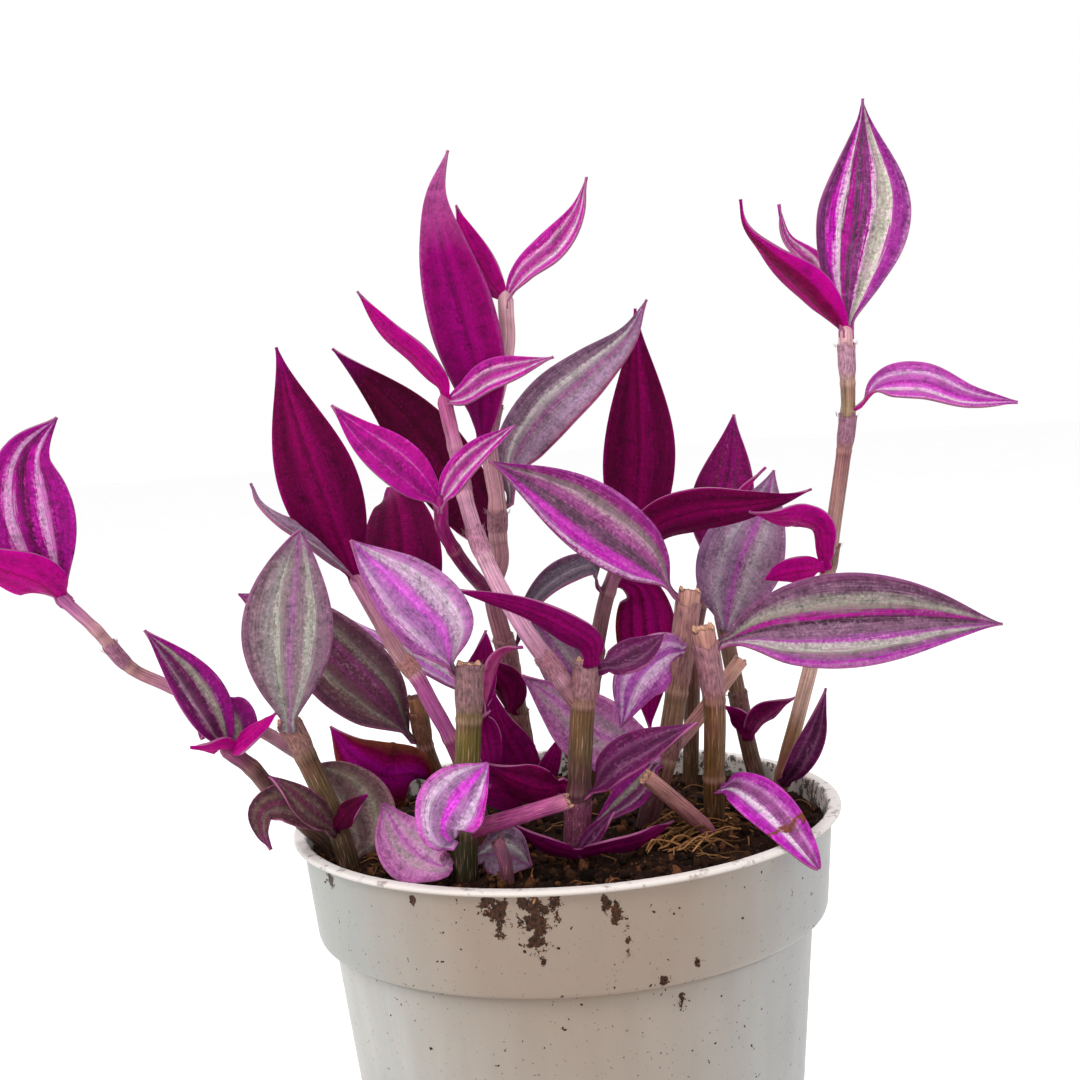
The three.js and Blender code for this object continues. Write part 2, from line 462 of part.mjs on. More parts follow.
const leaves = [
  ['leaf_right_silver', silver, [
    blade('stem_right_stub', [711, 645], [[763, 630, -3], [850, 621, -5], [930, 618, -4], [1003, 624, 0]],
      21, -20, 0.15)]],
  ['leaves_crown_right', purple, [
    blade('stem_right_tall', [846, 342], [[853, 272, 2], [864, 205, 1], [863, 98, -4]], 20.5, 8, 0.35,
      { tip: 0, widest: 0.5, taper: 1.5 }),
    blade('stem_right_tall', [846, 342], [[811, 292, -2], [769, 254, -5], [745, 226, -6], [740, 199, -6]],
      9, 108, 0.5, { tip: 0, taper: 1.4 }),
    blade('stem_right_tall', [846, 342], [[812, 266, 5], [786, 238, 8], [779, 204, 9]], 7.5, 70, 0.5,
      { tip: 0, taper: 1.4 })]],
  ['leaf_right_arching', purple, [
    blade('stem_right_tall', [850, 408], [[881, 386, -1], [921, 382, -3], [969, 398, -5], [1018, 402, -6]],
      12.5, -52, 0.2)]],
  ['leaves_right_middle', magenta, [
    blade('stem_right_tall', [829, 566], [[820, 530, -3], [802, 519, -5], [776, 517, -7], [749, 512, -8]],
      9, 128, 0.35, { from: [-0.6, -1, 0] }),
    blade('stem_right_tall', [829, 566], [[806, 570, -2], [785, 573, -1], [764, 580, 2]], 7, 150, 0.3,
      { from: [-0.6, -1, 0] })]],
  ['leaf_right_low', purple, [
    blade('stem_right_tall', [782, 780], [[796, 768, -4], [812, 738, -6], [826, 688, -7]], 6.5, 20, 0.35,
      { from: [0, -1, 0] })]],
  ['leaf_grey_upright', silver, [
    blade('stem_back_right', [724, 628], [[731, 590, -1], [743, 553, -2], [763, 505, 1], [774, 470, 4]],
      20, 0, 0.15, { from: [0, -1, 0] })]],
  ['leaf_long_dark', wine, [
    blade('stem_back_middle', [617, 568], [[655, 527, -4], [697, 511, -9], [745, 506, -13], [785, 499, -14],
      [812, 489, -13]], 11.5, -150, 0.3, { from: [0.5, -1, 0], taper: 1.3 })]],
  ['leaf_upright_dark', wine, [
    blade('stem_back_middle', [617, 568], [[632, 530, 2], [639, 460, 1], [639, 400, 0], [635, 308, 1]],
      17, 180, 0.3, { from: [-0.3, 1, 0], taper: 1.3 })]],
  ['leaves_back_hanging', magenta, [
    blade('stem_back_middle', [612, 580], [[638, 590, 2], [646, 630, 3], [648, 680, 3], [650, 730, 2]],
      14.5, 180, 0.2, { from: [0.7, 1, 0] })]],
  ['leaf_grey_curved', silver, [
    blade('stem_back_middle', [609, 590], [[592, 566, -3], [560, 577, -5], [531, 605, -6], [516, 646, -6]],
      9, 50, 0.3, { from: [-1, -0.4, 0] })]],
  ['leaves_purple_upright', purple, [
    blade('stem_back_second', [706, 576], [[716, 530, 2], [727, 475, 3], [734, 414, 2]], 15, 0, 0.3,
      { tip: 0 }),
    blade('stem_back_second', [706, 576], [[725, 525, -4], [745, 490, -5], [766, 467, -6]], 6, -110, 0.4,
      { tip: 0 })]],
  ['leaf_striped_centre', purple, [
    blade('stem_right_inner', [688, 597], [[650, 563, -3], [600, 525, -5], [545, 490, -6], [489, 461, -5]],
      17.5, 28, 0.12, { widest: 0.45 })]],
  ['leaf_silver_behind', silver, [
    blade('stem_back_middle', [592, 690], [[574, 676, -6], [553, 648, -7], [530, 612, -7]], 12, 0, 0.25,
      { from: [-0.1, -1, 0] })]],
  ['leaves_centre_top', magenta, [
    blade('stem_centre', [588, 662], [[603, 632, -2], [576, 609, -5], [528, 604, -8], [487, 596, -8],
      [450, 588, -6]], 12, [72, 118], 0.4, { from: [1, -0.6, 0] }),
    blade('stem_centre', [588, 662], [[616, 664, 2], [640, 652, 5], [667, 633, 7]], 8.5, -35, 0.25,
      { from: [1, -0.6, 0] })]],
  ['leaf_pink_striped', pink, [
    blade('stem_front_left', [468, 672], [[441, 630, -3], [407, 595, -6], [375, 565, -8], [350, 540, -8]],
      17, 25, 0.15, { taper: 1 })]],
  ['leaves_front_left_node', magenta, [
    blade('stem_front_left', [469, 716], [[488, 690, 1], [495, 664, 2], [507, 651, 3], [523, 647, 4]],
      6, -110, 0.5, { from: [0.8, 1, 0] }),
    blade('stem_front_left', [469, 716], [[478, 690, 4], [483, 660, 6], [486, 630, 7]], 7, 180, 0.3,
      { from: [0.8, 1, 0] }),
    blade('stem_front_left', [469, 716], [[487, 735, 4], [491, 760, 4], [489, 788, 4]], 5.5, 180, 0.3,
      { from: [0.8, 1, 0] })]],
  ['leaf_dark_drooping', wine, [
    blade('stem_back_tall', [519, 706], [[508, 688, -5], [493, 670, -9], [476, 655, -10]], 8.5, 160, 0.3,
      { from: [-0.5, -1, 0] })]],
  ['leaf_lilac_narrow', pink, [
    blade('stem_back_tall', [512, 680], [[470, 688, 1], [430, 668, 2], [380, 640, 3], [331, 609, 4]],
      7.5, 60, 0.25, { from: [-1, 0.5, 0] })]],
  ['leaf_low_wine', wine, [
    blade('stem_centre', [579, 786], [[545, 789, -3], [515, 780, -6], [487, 763, -8]], 9, 150, 0.3)]],
  ['leaf_centre_right', purple, [
    blade('stem_centre', [580, 792], [[613, 767, -4], [655, 742, -6], [698, 723, -6]], 10.5, -38, 0.25,
      { from: [0.7, -1, 0] })]],
  ['leaves_low_back', purple, [
    blade('stem_back_tall', [543, 786], [[515, 790, -4], [490, 791, -8], [462, 796, -10]], 10, 180, 0.2,
      { from: [-0.6, -1, 0] }),
    blade('stem_back_tall', [543, 786], [[550, 765, -4], [563, 733, -4]], 5, 180, 0.3,
      { from: [-0.6, -1, 0] }),
    blade('stem_back_tall', [543, 786], [[519, 764, -5], [500, 727, -8], [492, 688, -8]], 10.5, 180, 0.25,
      { from: [-0.6, -1, 0] })]],
  ['leaf_front_striped', pink, [
    blade('stem_front_left', [466, 836], [[450, 841, -4], [443, 829, -6], [456, 798, -8], [488, 763, -7]],
      13.5, 0, 0.15, { from: [0, -1, 0], widest: 0.56, taper: 1 })]],
  ['leaves_front_low', pink, [
    blade('stem_front_left', [466, 856], [[444, 866, -1.7], [420, 856, 3], [398, 834, 6], [383, 803, 8]],
      13.5, 10, 0.15, { widest: 0.48, taper: 1, from: [0, -1, 0] }),
    blade('stem_front_left', [466, 856], [[485, 857, -3], [497, 868, -4], [503, 884, -4]], 7.5, 10, 0.2,
      { from: [0, -1, 0] })]],
  ['leaf_magenta_folded', magenta, [
    blade('stem_dry_stub', [434, 772], [[412, 774, -5], [385, 776, -8], [355, 757, -9], [330, 726, -8]],
      12.5, 165, 0.3, { from: [-0.7, -1, 0] })]],
  ['leaf_grey_large', silver, [
    blade('stem_dry_stub', [423, 738], [[388, 710, -2], [345, 668, -1], [295, 622, 1], [238, 594, 3]],
      19.5, 20, 0.12, { from: [-1, 0, 0], taper: 0.95 })]],
  ['leaf_silver_face', silver, [
    blade('stem_left_stub', [290, 727], [[287, 664, -2], [289, 605, -3], [299, 530, -1]], 18.5, 0, 0.05,
      { widest: 0.5, taper: 0.85, from: [0, -1, 0] })]],
  ['leaves_left_dark', wine, [
    blade('stem_pink', [362, 590], [[325, 500, -4], [300, 430, -4], [276, 347, 0]], 17, 180, 0.3,
      { tip: 0, taper: 1.3 }),
    blade('stem_pink', [362, 590], [[338, 562, -2], [311, 541, -5], [280, 523, -7], [259, 503, -7],
      [251, 483, -6]], 8, 62, 0.35, { tip: 0 })]],
  ['leaf_round_dark', wine, [
    blade('stem_pink', [388, 636], [[399, 592, 10], [401, 540, 15], [396, 500, 22], [388, 488, 30]],
      18.5, 180, 0.2, { from: [0.5, 1, 0], taper: 0.8 })]],
  ['leaf_tall_dark', wine, [
    blade('stem_back_tall', [490, 440], [[478, 380, -5], [462, 320, -8], [442, 245, -9], [436, 195, -8],
      [448, 150, -6]], 15, 172, 0.35, { from: [-0.4, -1, 0], taper: 1.25 })]],
  ['leaves_top_pair', magenta, [
    blade('stem_back_tall', [506, 310], [[525, 272, -1], [555, 247, -3], [577, 213, -3], [587, 177, -2]],
      9.5, -48, 0.4, { tip: 0 }),
    blade('stem_back_tall', [506, 310], [[488, 277, 4], [468, 240, 6], [456, 205, 7]], 7.5, 150, 0.3,
      { tip: 0 })]],
  ['leaves_middle_pair', magenta, [
    blade('stem_centre', [447, 412], [[441, 385, -1], [418, 358, -2], [388, 333, -3], [357, 291, -3]],
      7.5, 130, 0.4, { tip: 1 }),
    blade('stem_centre', [447, 412], [[462, 396, -2], [490, 378, -4], [525, 366, -5], [554, 357, -5]],
      9, -45, 0.35, { tip: 1 })]],
  ['leaves_bright_pair', magenta, [
    blade('stem_back_tall', [441, 512], [[403, 468, -3], [362, 436, -5], [331, 405, -5]], 10.5, 20, 0.3,
      { tip: 1 }),
    blade('stem_back_tall', [441, 512], [[455, 478, -3], [482, 450, -5], [515, 425, -5]], 7.5, -38, 0.35,
      { tip: 1 })]],
  ['leaf_left_brown', wine, [
    blade('stem_back_tall', [500, 562], [[476, 520, 5], [440, 464, 6], [400, 412, 7], [332, 348, 7]],
      16, 180, 0.25, { from: [-0.6, 1, 0], taper: 1.25 })]],
  ['leaf_silver_purple', silver, [
    blade('stem_back_tall', [497, 507], [[516, 456, 2], [550, 408, 4], [590, 372, 5], [628, 336, 5],
      [647, 299, 4]], 14.5, -25, 0.2, { from: [1, 0.4, 0] })]],
  ['leaves_far_left', magenta, [
    blade('stem_left_stub', [70, 606], [[45, 565, -2], [27, 500, -3], [28, 455, -3], [57, 417, -2]],
      19, 0, 0.35, { tip: 1, widest: 0.45 }),
    blade('stem_left_stub', [70, 606], [[38, 582, -6], [2, 569, -9], [-30, 558, -9], [-57, 543, -8]],
      12, 140, 0.35, { tip: 1, widest: 0.36 })]],
  ['leaves_left_cluster', purple, [
    blade('stem_left_low', [236, 756], [[205, 702, -3], [180, 668, -4], [144, 630, -4]], 10.5, 15, 0.25,
      { tip: 0 }),
    blade('stem_left_low', [236, 756], [[248, 736, -5], [262, 725, -8], [276, 714, -10]], 6.5, 125, 0.4,
      { tip: 0 }),
    blade('stem_left_low', [236, 756], [[222, 747, -4], [206, 748, -6], [190, 748, -7]], 5, 125, 0.4,
      { tip: 0 }),
    blade('stem_left_low', [236, 756], [[230, 730, 2], [216, 712, 4], [202, 692, 5]], 13, 10, 0.3,
      { tip: 0 })]],
  ['leaves_left_low', purple, [
    blade('stem_left_stub', [337, 826], [[310, 812, -3], [280, 803, -5], [262, 812, -6], [262, 832, -7],
      [271, 850, -7]], 8.5, 20, 0.2, { from: [0, -1, 0] }),
    blade('stem_left_stub', [337, 826], [[348, 812, -3], [358, 803, -4], [367, 794, -5]], 5, 150, 0.3,
      { from: [0, -1, 0] }),
    blade('stem_left_stub', [337, 826], [[304, 803, -5], [287, 788, -6], [269, 776, -6]], 6.5, 15, 0.25,
      { from: [0, -1, 0] })]],
  ['leaf_left_broad', silver, [
    blade('stem_left_stub', [346, 856], [[366, 838, 5], [360, 808, 8], [338, 782, 9], [306, 766, 8]],
      14.5, 0, 0.2, { from: [0.8, 1, 0], taper: 0.95 })]],
  ['leaves_centre_foot', magenta, [
    blade('stem_centre', [577, 850], [[554, 850, -2], [528, 838, -1], [497, 820, 1]], 6, 118, 0.4,
      { from: [0, -1, 0] }),
    blade('stem_centre', [577, 850], [[610, 848, -5], [645, 840, 0], [673, 821, 10]], 6, -120, 0.35,
      { from: [0, -1, 0] }),
    blade('stem_centre', [577, 850], [[600, 828, 0], [615, 812, 1]], 4, -30, 0.3,
      { from: [0, -1, 0] })]],
  ['leaves_right_inner_low', pink, [
    blade('stem_right_inner', [664, 764], [[640, 752, 2], [600, 735, 5], [560, 705, 6], [522, 675, 4]],
      15.5, 0, 0.15, { from: [-0.7, -1, 0] }),
    blade('stem_right_inner', [664, 764], [[638, 788, -4], [614, 810, -7], [591, 827, -9]], 7.5, 30, 0.25,
      { from: [-0.7, -1, 0] })]],
  ['leaf_folded_pink', pink, [
    blade('stem_right_inner', [684, 648], [[664, 655, -4], [637, 679, -8], [621, 728, -9]],
      13, [-40, -5], 0.35, { from: [0, -1, 0] })]],
  ['leaves_back_right_pair', wine, [
    blade('stem_back_right', [747, 735], [[762, 716, -4], [778, 706, -6], [796, 697, -7]], 7, -130, 0.3,
      { from: [0, -1, 0] }),
    blade('stem_back_right', [747, 735], [[738, 716, -3], [725, 707, -4]], 5.5, 150, 0.3,
      { from: [0, -1, 0] })]],
  ['leaf_front_right', magenta, [
    blade('stem_right_stub', [714, 784], [[745, 791, -9], [782, 812, -19], [807, 838, -26], [820, 868, -29]],
      10.5, -15, 0.2, { from: [0.4, -1, 0] })]],
];

const stemTones = {
  stem_front_left: 0x7f6a4a, stem_centre: 0x846a5a, stem_back_tall: 0xb59a98, stem_right_inner: 0x94826e,
  stem_right_stub: 0x9c7f78, stem_right_tall: 0xa88a90, stem_back_right: 0x7a5f60, stem_front_cut: 0xb49a90,
  stem_left_stub: 0x8f7468, stem_left_low: 0x9a5f80, stem_dry_stub: 0x8c6f50, stem_pink: 0xb07a9c,
  stem_front_small: 0x8f4a76, stem_back_middle: 0xa07a80, stem_back_second: 0xb09a8c,
};

const plant = new THREE.Group();

function addPiece(name, solid, colour, roughness) {
  const material = new THREE.MeshStandardMaterial({ color: colour, roughness, metalness: 0 });
  const mesh = new THREE.Mesh(toGeometry(solid), material);
  mesh.name = name;
  plant.add(mesh);
}

function stemSolid({ paths }) {
  let solid = toSolid(tube(paths[0], 0));
  for (const path of paths.slice(1)) {
    solid = solid.add(toSolid(tube(path, 0)));
  }
  return solid;
}

addPiece('pot', potSolid(), 0xcfc6c2, 0.55);
addPiece('soil', soilSolid(stems), 0x2a1b14, 0.95);
for (const stem of stems) {
  addPiece(stem.name, stemSolid(stem), stemTones[stem.name], 0.6);
}
for (const [name, colour, blades] of leaves) {
  addPiece(name, leafSolid(blades), colour, 0.5);
}

export default plant;
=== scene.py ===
import math
import random

import bpy
from mathutils import Euler, Matrix, Vector, noise


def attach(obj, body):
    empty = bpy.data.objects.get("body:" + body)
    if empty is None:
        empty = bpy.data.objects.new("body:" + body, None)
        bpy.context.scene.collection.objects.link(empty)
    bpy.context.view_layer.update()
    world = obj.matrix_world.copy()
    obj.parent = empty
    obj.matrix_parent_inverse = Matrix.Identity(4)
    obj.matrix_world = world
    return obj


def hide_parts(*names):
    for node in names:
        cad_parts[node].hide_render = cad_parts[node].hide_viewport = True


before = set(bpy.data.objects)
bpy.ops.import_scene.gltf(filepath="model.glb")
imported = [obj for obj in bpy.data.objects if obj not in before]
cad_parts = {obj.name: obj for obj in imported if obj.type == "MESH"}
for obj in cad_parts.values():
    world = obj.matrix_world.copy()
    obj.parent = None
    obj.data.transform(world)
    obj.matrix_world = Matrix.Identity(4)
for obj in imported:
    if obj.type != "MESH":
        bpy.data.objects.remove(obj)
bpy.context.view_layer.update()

bl_info = {
    "name": "Potted tradescantia",
    "version": (1, 0, 0),
    "blender": (4, 5, 0),
    "location": "View3D > Sidebar > Plant",
    "description": "A nursery pot of soil with jointed stems and striped leaves",
    "category": "Object",
}

# The plant is laid out in millimetres, and every mesh is written in metres.
MM = 0.001
BODY = "root"
FULL_TURN = 2 * math.pi

# Routes: how finely a curve is measured and searched, and its least step
ROUTE_DIVISIONS = 400
NEAREST_STEPS = 200
LEAST_STEP = 1e-4

# The view from which places are given: a place is a picture point and a depth behind the pot's axis.
VIEW_DISTANCE = 380
VIEW_ELEVATION = 14.63
VIEW_ROLL = -3.86
VIEW_YAW = -0.285
VIEW_PITCH = 9
VIEW_LENS = 1698
VIEW_CENTRE = 540
PICTURE_SIZE = 1080
AIM_HEIGHT = 108
SENSOR = 36

# Pot: radius and height from its underside up the outside, over the lip and down the inside
POT_PROFILE = [
    (43.3, 0), (43.9, 0.12), (44.25, 0.45), (44.45, 1.1), (46.5, 22), (49.4, 51), (52.2, 78.5), (52.75, 84.3),
    (52.85, 85.1), (53.2, 85.45), (54.6, 85.5), (55.3, 85.62), (55.85, 86), (56.1, 86.7), (56.25, 88.2),
    (56.9, 95.2), (57.75, 104.4), (57.95, 106), (58.15, 106.55), (58.5, 106.78), (59.45, 106.85),
    (59.8, 107.02), (59.98, 107.35), (59.88, 107.72), (59.6, 107.94), (59.1, 108), (57.9, 108),
    (57.45, 107.92), (57.15, 107.65), (57, 107.1), (56.3, 101.2), (55.05, 89), (54.4, 86.9), (52.6, 85.1),
    (51.9, 84), (51.6, 82), (44.1, 6), (43.4, 2.9), (42.6, 2.2), (41.6, 2),
]
POT_CREASE = 38
DRAIN_HOLES = 6
DRAIN_RADIUS = 3.5
DRAIN_CIRCLE = 29
DRAIN_SIDES = 40
DRILL_DEPTH = 12

# Where the pot's painted light, shade, shadow and reflection fade in, and its inner wall and lip top, in
# metres: each from its first value to its second.
FRONT_REFLECTION_FADE = (-0.036, -0.054)
RIGHT_SHADE_FADE = (0.016, 0.05)
LEFT_SHADE_FADE = (-0.026, -0.044)
INNER_WALL = (0.0469, 0.0467)
INNER_FOOT = (0.096, 0.0965)
BAND_SHADE_FOOT = (0.0854, 0.0858)
SEAM_SHADOW_FOOT = (0.0836, 0.0852)
SEAM_SHADOW_TOP = (0.0857, 0.0855)
LIP_TOP = (0.1066, 0.1076)
WALL_SLOPE = 0.1

# Dust on the pot's outside: picture point, wall radius, reach
DUST_SPOTS = [
    (488, 904, 57.6, 3), (500, 914, 57.3, 3.2), (522, 902, 57.6, 2.4), (533, 914, 57.3, 4.4),
    (538, 932, 56.9, 4.2), (541, 945, 56.7, 2.6), (556, 902, 57.6, 2.6), (606, 904, 57.6, 1.8),
    (616, 913, 57.3, 2), (626, 926, 57, 1.2), (628, 940, 56.8, 1.2), (628, 954, 56.6, 1.2),
    (697, 961, 56.4, 1.1), (331, 880, 57.8, 1.8), (382, 1041, 49.5, 1.2), (412, 899, 57.6, 1.2),
    (683, 1004, 52.9, 1.4), (664, 982, 56.2, 1.6),
]
DUST_CRUMBS = 14
DUST_ACROSS = 2.6
DUST_DOWN = 2.2
DUST_SIZE = (0.08, 0.1)
DUST_GROWTH = 0.08

# Soil: its level and mound, and the radius and height of the rings of its side
SOIL_LEVEL = 103.6
SOIL_RIM = 55.9
SOIL_SIDE = [(54.2, 88.2), (51.1, 83.5), (43.6, 8), (42, 2.35)]
SOIL_CELLS = 120
SOIL_SLOPE = 0.028
MOUND_HEIGHT = 1.6
MOUND_PLACE = (20, -26)
MOUND_SPREAD = 450
SWELL_HEIGHT = 0.45
SWELL_ACROSS = 6
SWELL_DEEP = 5

# Soil texture: the size, height and seed of its lumps and of its grain
SOIL_LUMPS = (4.5, 1.1, 3.1)
SOIL_GRAIN = (1.6, 0.6, 7.7)

# Crumbs: how they are strewn, turned, squashed and dented, with each dent's depth and pace
CRUMB_SEED = 11
CRUMB_LEAST = 0.16
CRUMB_BIAS = 2.8
CRUMB_MARGIN = 1.2
CRUMB_STAND = 0.25
CRUMB_TURN = 6.28
CRUMB_DEEP = (0.4, 0.9)
CRUMB_HIGH = (0.3, 0.7)
CRUMB_DENTS = [(0.7, 1.6), (0.3, 4.1)]
CRUMB_SHIFT = 1.7
CRUMB_TONES = ("20140e", "301e14", "140c08", "3c2418", "4c2e1e", "1a100b", "5c3824")

# Fibres: how each runs over the soil
FIBRE_SEED = 23
FIBRE_SIDES = 6
FIBRE_STEPS = 16
FIBRE_LEGS = 5
FIBRE_DIVISIONS = 60
FIBRE_CURL = 0.03
FIBRE_LIFT = 0.35
FIBRE_MARGIN = 4
RIM_MARGIN = 1.5

# Fibres: the least and most of each measure, loose and in the clump at the front right, with its place
LOOSE_FIBRE = {"length": (3, 11), "arch": (0.1, 0.9), "thick": (0.06, 0.18), "light": (0.2, 0.9)}
CLUMP_FIBRE = {"length": (5, 20), "arch": (0.3, 2.4), "thick": (0.07, 0.3), "light": (0.12, 1.3)}
CLUMP_EVERY = 4
CLUMP_ACROSS = (636, 700)
CLUMP_DOWN = (828, 868)
CLUMP_HEADING = (0.6, 0.17)
STRAND_LIFT = 0.5
STRAND_ARCH = 1.3

# One thread that hangs over the lip, and longer roots laid over the soil: picture points, radius, lightness
LIP_THREAD = ([(522, 893, -46), (531, 889, -50), (536, 893, -56), (533, 905, -60.5)], 0.22, 1.2)
ROOT_STRANDS = [
    ([(738, 817), (716, 826), (692, 838), (664, 851), (640, 862)], 0.42, 1.0),
    ([(741, 823), (720, 829), (697, 842), (676, 850)], 0.3, 1.25),
    ([(731, 815), (707, 829), (684, 843), (652, 853)], 0.34, 0.75),
    ([(726, 826), (700, 837), (676, 846), (655, 862), (648, 870)], 0.22, 1.1),
    ([(700, 838), (708, 850), (702, 862), (692, 870)], 0.16, 1.4),
]

# Stems: how far the root end goes down and in, and the swelling, waist and colours at a node
ROOT_DEPTH = 13
ROOT_PULL = 0.95
NODE_SWELL = 1.16
NODE_HALF = 1.5
NODE_RING = 0.09
NODE_REACH = 0.7
WAIST = 0.05
WAIST_RISE = 2.4
WAIST_REACH = 1.2
PALE_RING = 0.28
PALE_REACH = 0.45
DARK_RING = 0.35
DARK_DROP = 1.5
DARK_REACH = 0.6
BUD_RADIUS = 1.7
BUD_RINGS = [(0.9, 1.0), (2.1, 1.02), (3.1, 0.8), (3.9, 0.4), (4.3, 0)]
BUD_WIDTH = 0.92

# Cut ends and torn rims: the height and count of the waves they rise in, and a cut's rim and hollow
CUT_WAVES = [(0.4, 3), (0.3, 7), (0.2, 12)]
CUT_RIM = 0.86
CUT_HOLLOW = [(0.7, 0.6), (0.8, 0)]
TORN_WAVES = [(0.5, 3), (0.25, 8)]

# Sheaths and the hairs on their rims
SHEATH_STEP = 0.8
SHEATH_SIDES = 39
SHEATH_INSET = 0.2
SHEATH_FLARE = 0.32
FLARE_END = 0.4
RIM_FLARE = 0.1
RIM_START = 0.8
SHEATH_RIBS = 13
RIB_HEIGHT = 0.09
HUSK_SHADE = 0.82
HUSK_FADE = 0.75
HUSK_START = 0.35
HAIR_SEED = 5
HAIRS_A_RIM = 26
HAIR_RADIUS = 0.045
HAIR_STAND = 0.7
HAIR_DROP = (0, 0.6)
HAIR_RISE = (0.7, 1.3)
HAIR_LEAN = (0.1, 0.9)
HAIR_SHARE = (0.5, 1)

# The direction from which the rings of every tube start
RING_START = (0.31, -0.94, 0.12)

# Leaves: a blade's seat, neck and tip, its margins' wave, its midrib's groove and its fine pleats
SEAT_GAP = 1.1
BUD_GAP = 0.4
BASE_SWING = 0.9
BASE_TAPER = 1.05
NECK_WIDTH = 3.6
NECK_END = 0.3
HUG_END = 0.22
SWING_END = 0.25
MOST_CLASP = 1.2
CLASP_LIFT = 0.35
FIRST_TANGENT = 0.02
LEAST_BEND = 0.02
FOOT_SHARES = (1, 0.66, 0.33)
FOOT_DROP = 0.8
FOOT_BITE = 0.3
FOOT_REACH = 0.8
BUD_DROP = 1.4
TIP_HALF = 0.12
TIP_END = 0.998
ROW_EASE = 0.4
MARGIN_WAVE = 0.35
MARGIN_WAVES = 9
WAVE_SHIFT = 2.1
GROOVE_DEPTH = 0.4
GROOVE_HALF = 0.1
PLEAT_DEPTH = 0.08
PLEATS = 14
FULL_RELIEF = 4

# Studio lights: name, place, aim, size and power
STUDIO_LIGHTS = [
    ("key_light", (-0.55, -0.75, 0.95), (0, 0, 0.13), 0.45, 7),
    ("fill_light", (0.8, -0.6, 0.5), (0, 0, 0.13), 0.8, 0.8),
    ("top_light", (0.05, 0.35, 1.0), (0, 0, 0.12), 0.5, 3.5),
]
FLOOR_RADIUS = 4
FLOOR_DROP = 0.0002


def make_view():
    """The eye's place and the directions ahead, to the right and up in the picture."""
    rise = math.radians(VIEW_ELEVATION)
    arm = Vector((0, -math.cos(rise), math.sin(rise))) * VIEW_DISTANCE
    zenith = Vector((0, 0, 1))
    straight = -arm.normalized()
    level = straight.cross(zenith).normalized()
    above = level.cross(straight)
    ahead = straight + level * math.tan(math.radians(VIEW_YAW)) + above * math.tan(math.radians(VIEW_PITCH))
    ahead.normalize()
    flat = ahead.cross(zenith).normalized()
    top = flat.cross(ahead)
    roll = math.radians(VIEW_ROLL)
    right = flat * math.cos(roll) + top * math.sin(roll)
    up = top * math.cos(roll) - flat * math.sin(roll)
    eye = arm + Vector((0, 0, AIM_HEIGHT))
    return eye, ahead, right, up


EYE, AHEAD, RIGHT, UP = make_view()


def ray_through(across, down):
    """The way from the eye through a place in the picture."""
    return AHEAD + RIGHT * ((across - VIEW_CENTRE) / VIEW_LENS) + UP * ((VIEW_CENTRE - down) / VIEW_LENS)


def seen(across, down, depth):
    """The point that shows at a place in the picture, at a depth behind the pot's axis."""
    ray = ray_through(across, down)
    return EYE + ray * ((depth - EYE.y) / ray.y)


def pictured(point):
    """Where a point shows in the picture."""
    arm = point - EYE
    far = arm.dot(AHEAD)
    return VIEW_CENTRE + VIEW_LENS * arm.dot(RIGHT) / far, VIEW_CENTRE - VIEW_LENS * arm.dot(UP) / far


def soil_top(x, y):
    """The soil's smooth top: a slope with a mound and low swells."""
    mound = MOUND_HEIGHT * math.exp(-((x - MOUND_PLACE[0]) ** 2 + (y - MOUND_PLACE[1]) ** 2) / MOUND_SPREAD)
    swell = SWELL_HEIGHT * math.sin(x / SWELL_ACROSS + 1) * math.sin(y / SWELL_DEEP)
    return SOIL_LEVEL - SOIL_SLOPE * y + mound + swell


def on_soil(across, down):
    """The point of the soil's top that shows at a place in the picture."""
    ray = ray_through(across, down)
    point = EYE + ray * ((SOIL_LEVEL - EYE.z) / ray.z)
    return Vector((point.x, point.y, soil_top(point.x, point.y)))


def on_wall(across, down, radius):
    """The point of an upright cylinder's front that shows at a place in the picture."""
    ray = ray_through(across, down)
    a = ray.x ** 2 + ray.y ** 2
    b = EYE.x * ray.x + EYE.y * ray.y
    c = EYE.x ** 2 + EYE.y ** 2 - radius ** 2
    return EYE + ray * ((-b - math.sqrt(b * b - a * c)) / a)


def smooth(value, low, high):
    """An eased step from 0 at low to 1 at high."""
    x = min(max((value - low) / (high - low), 0), 1)
    return x * x * (3 - 2 * x)


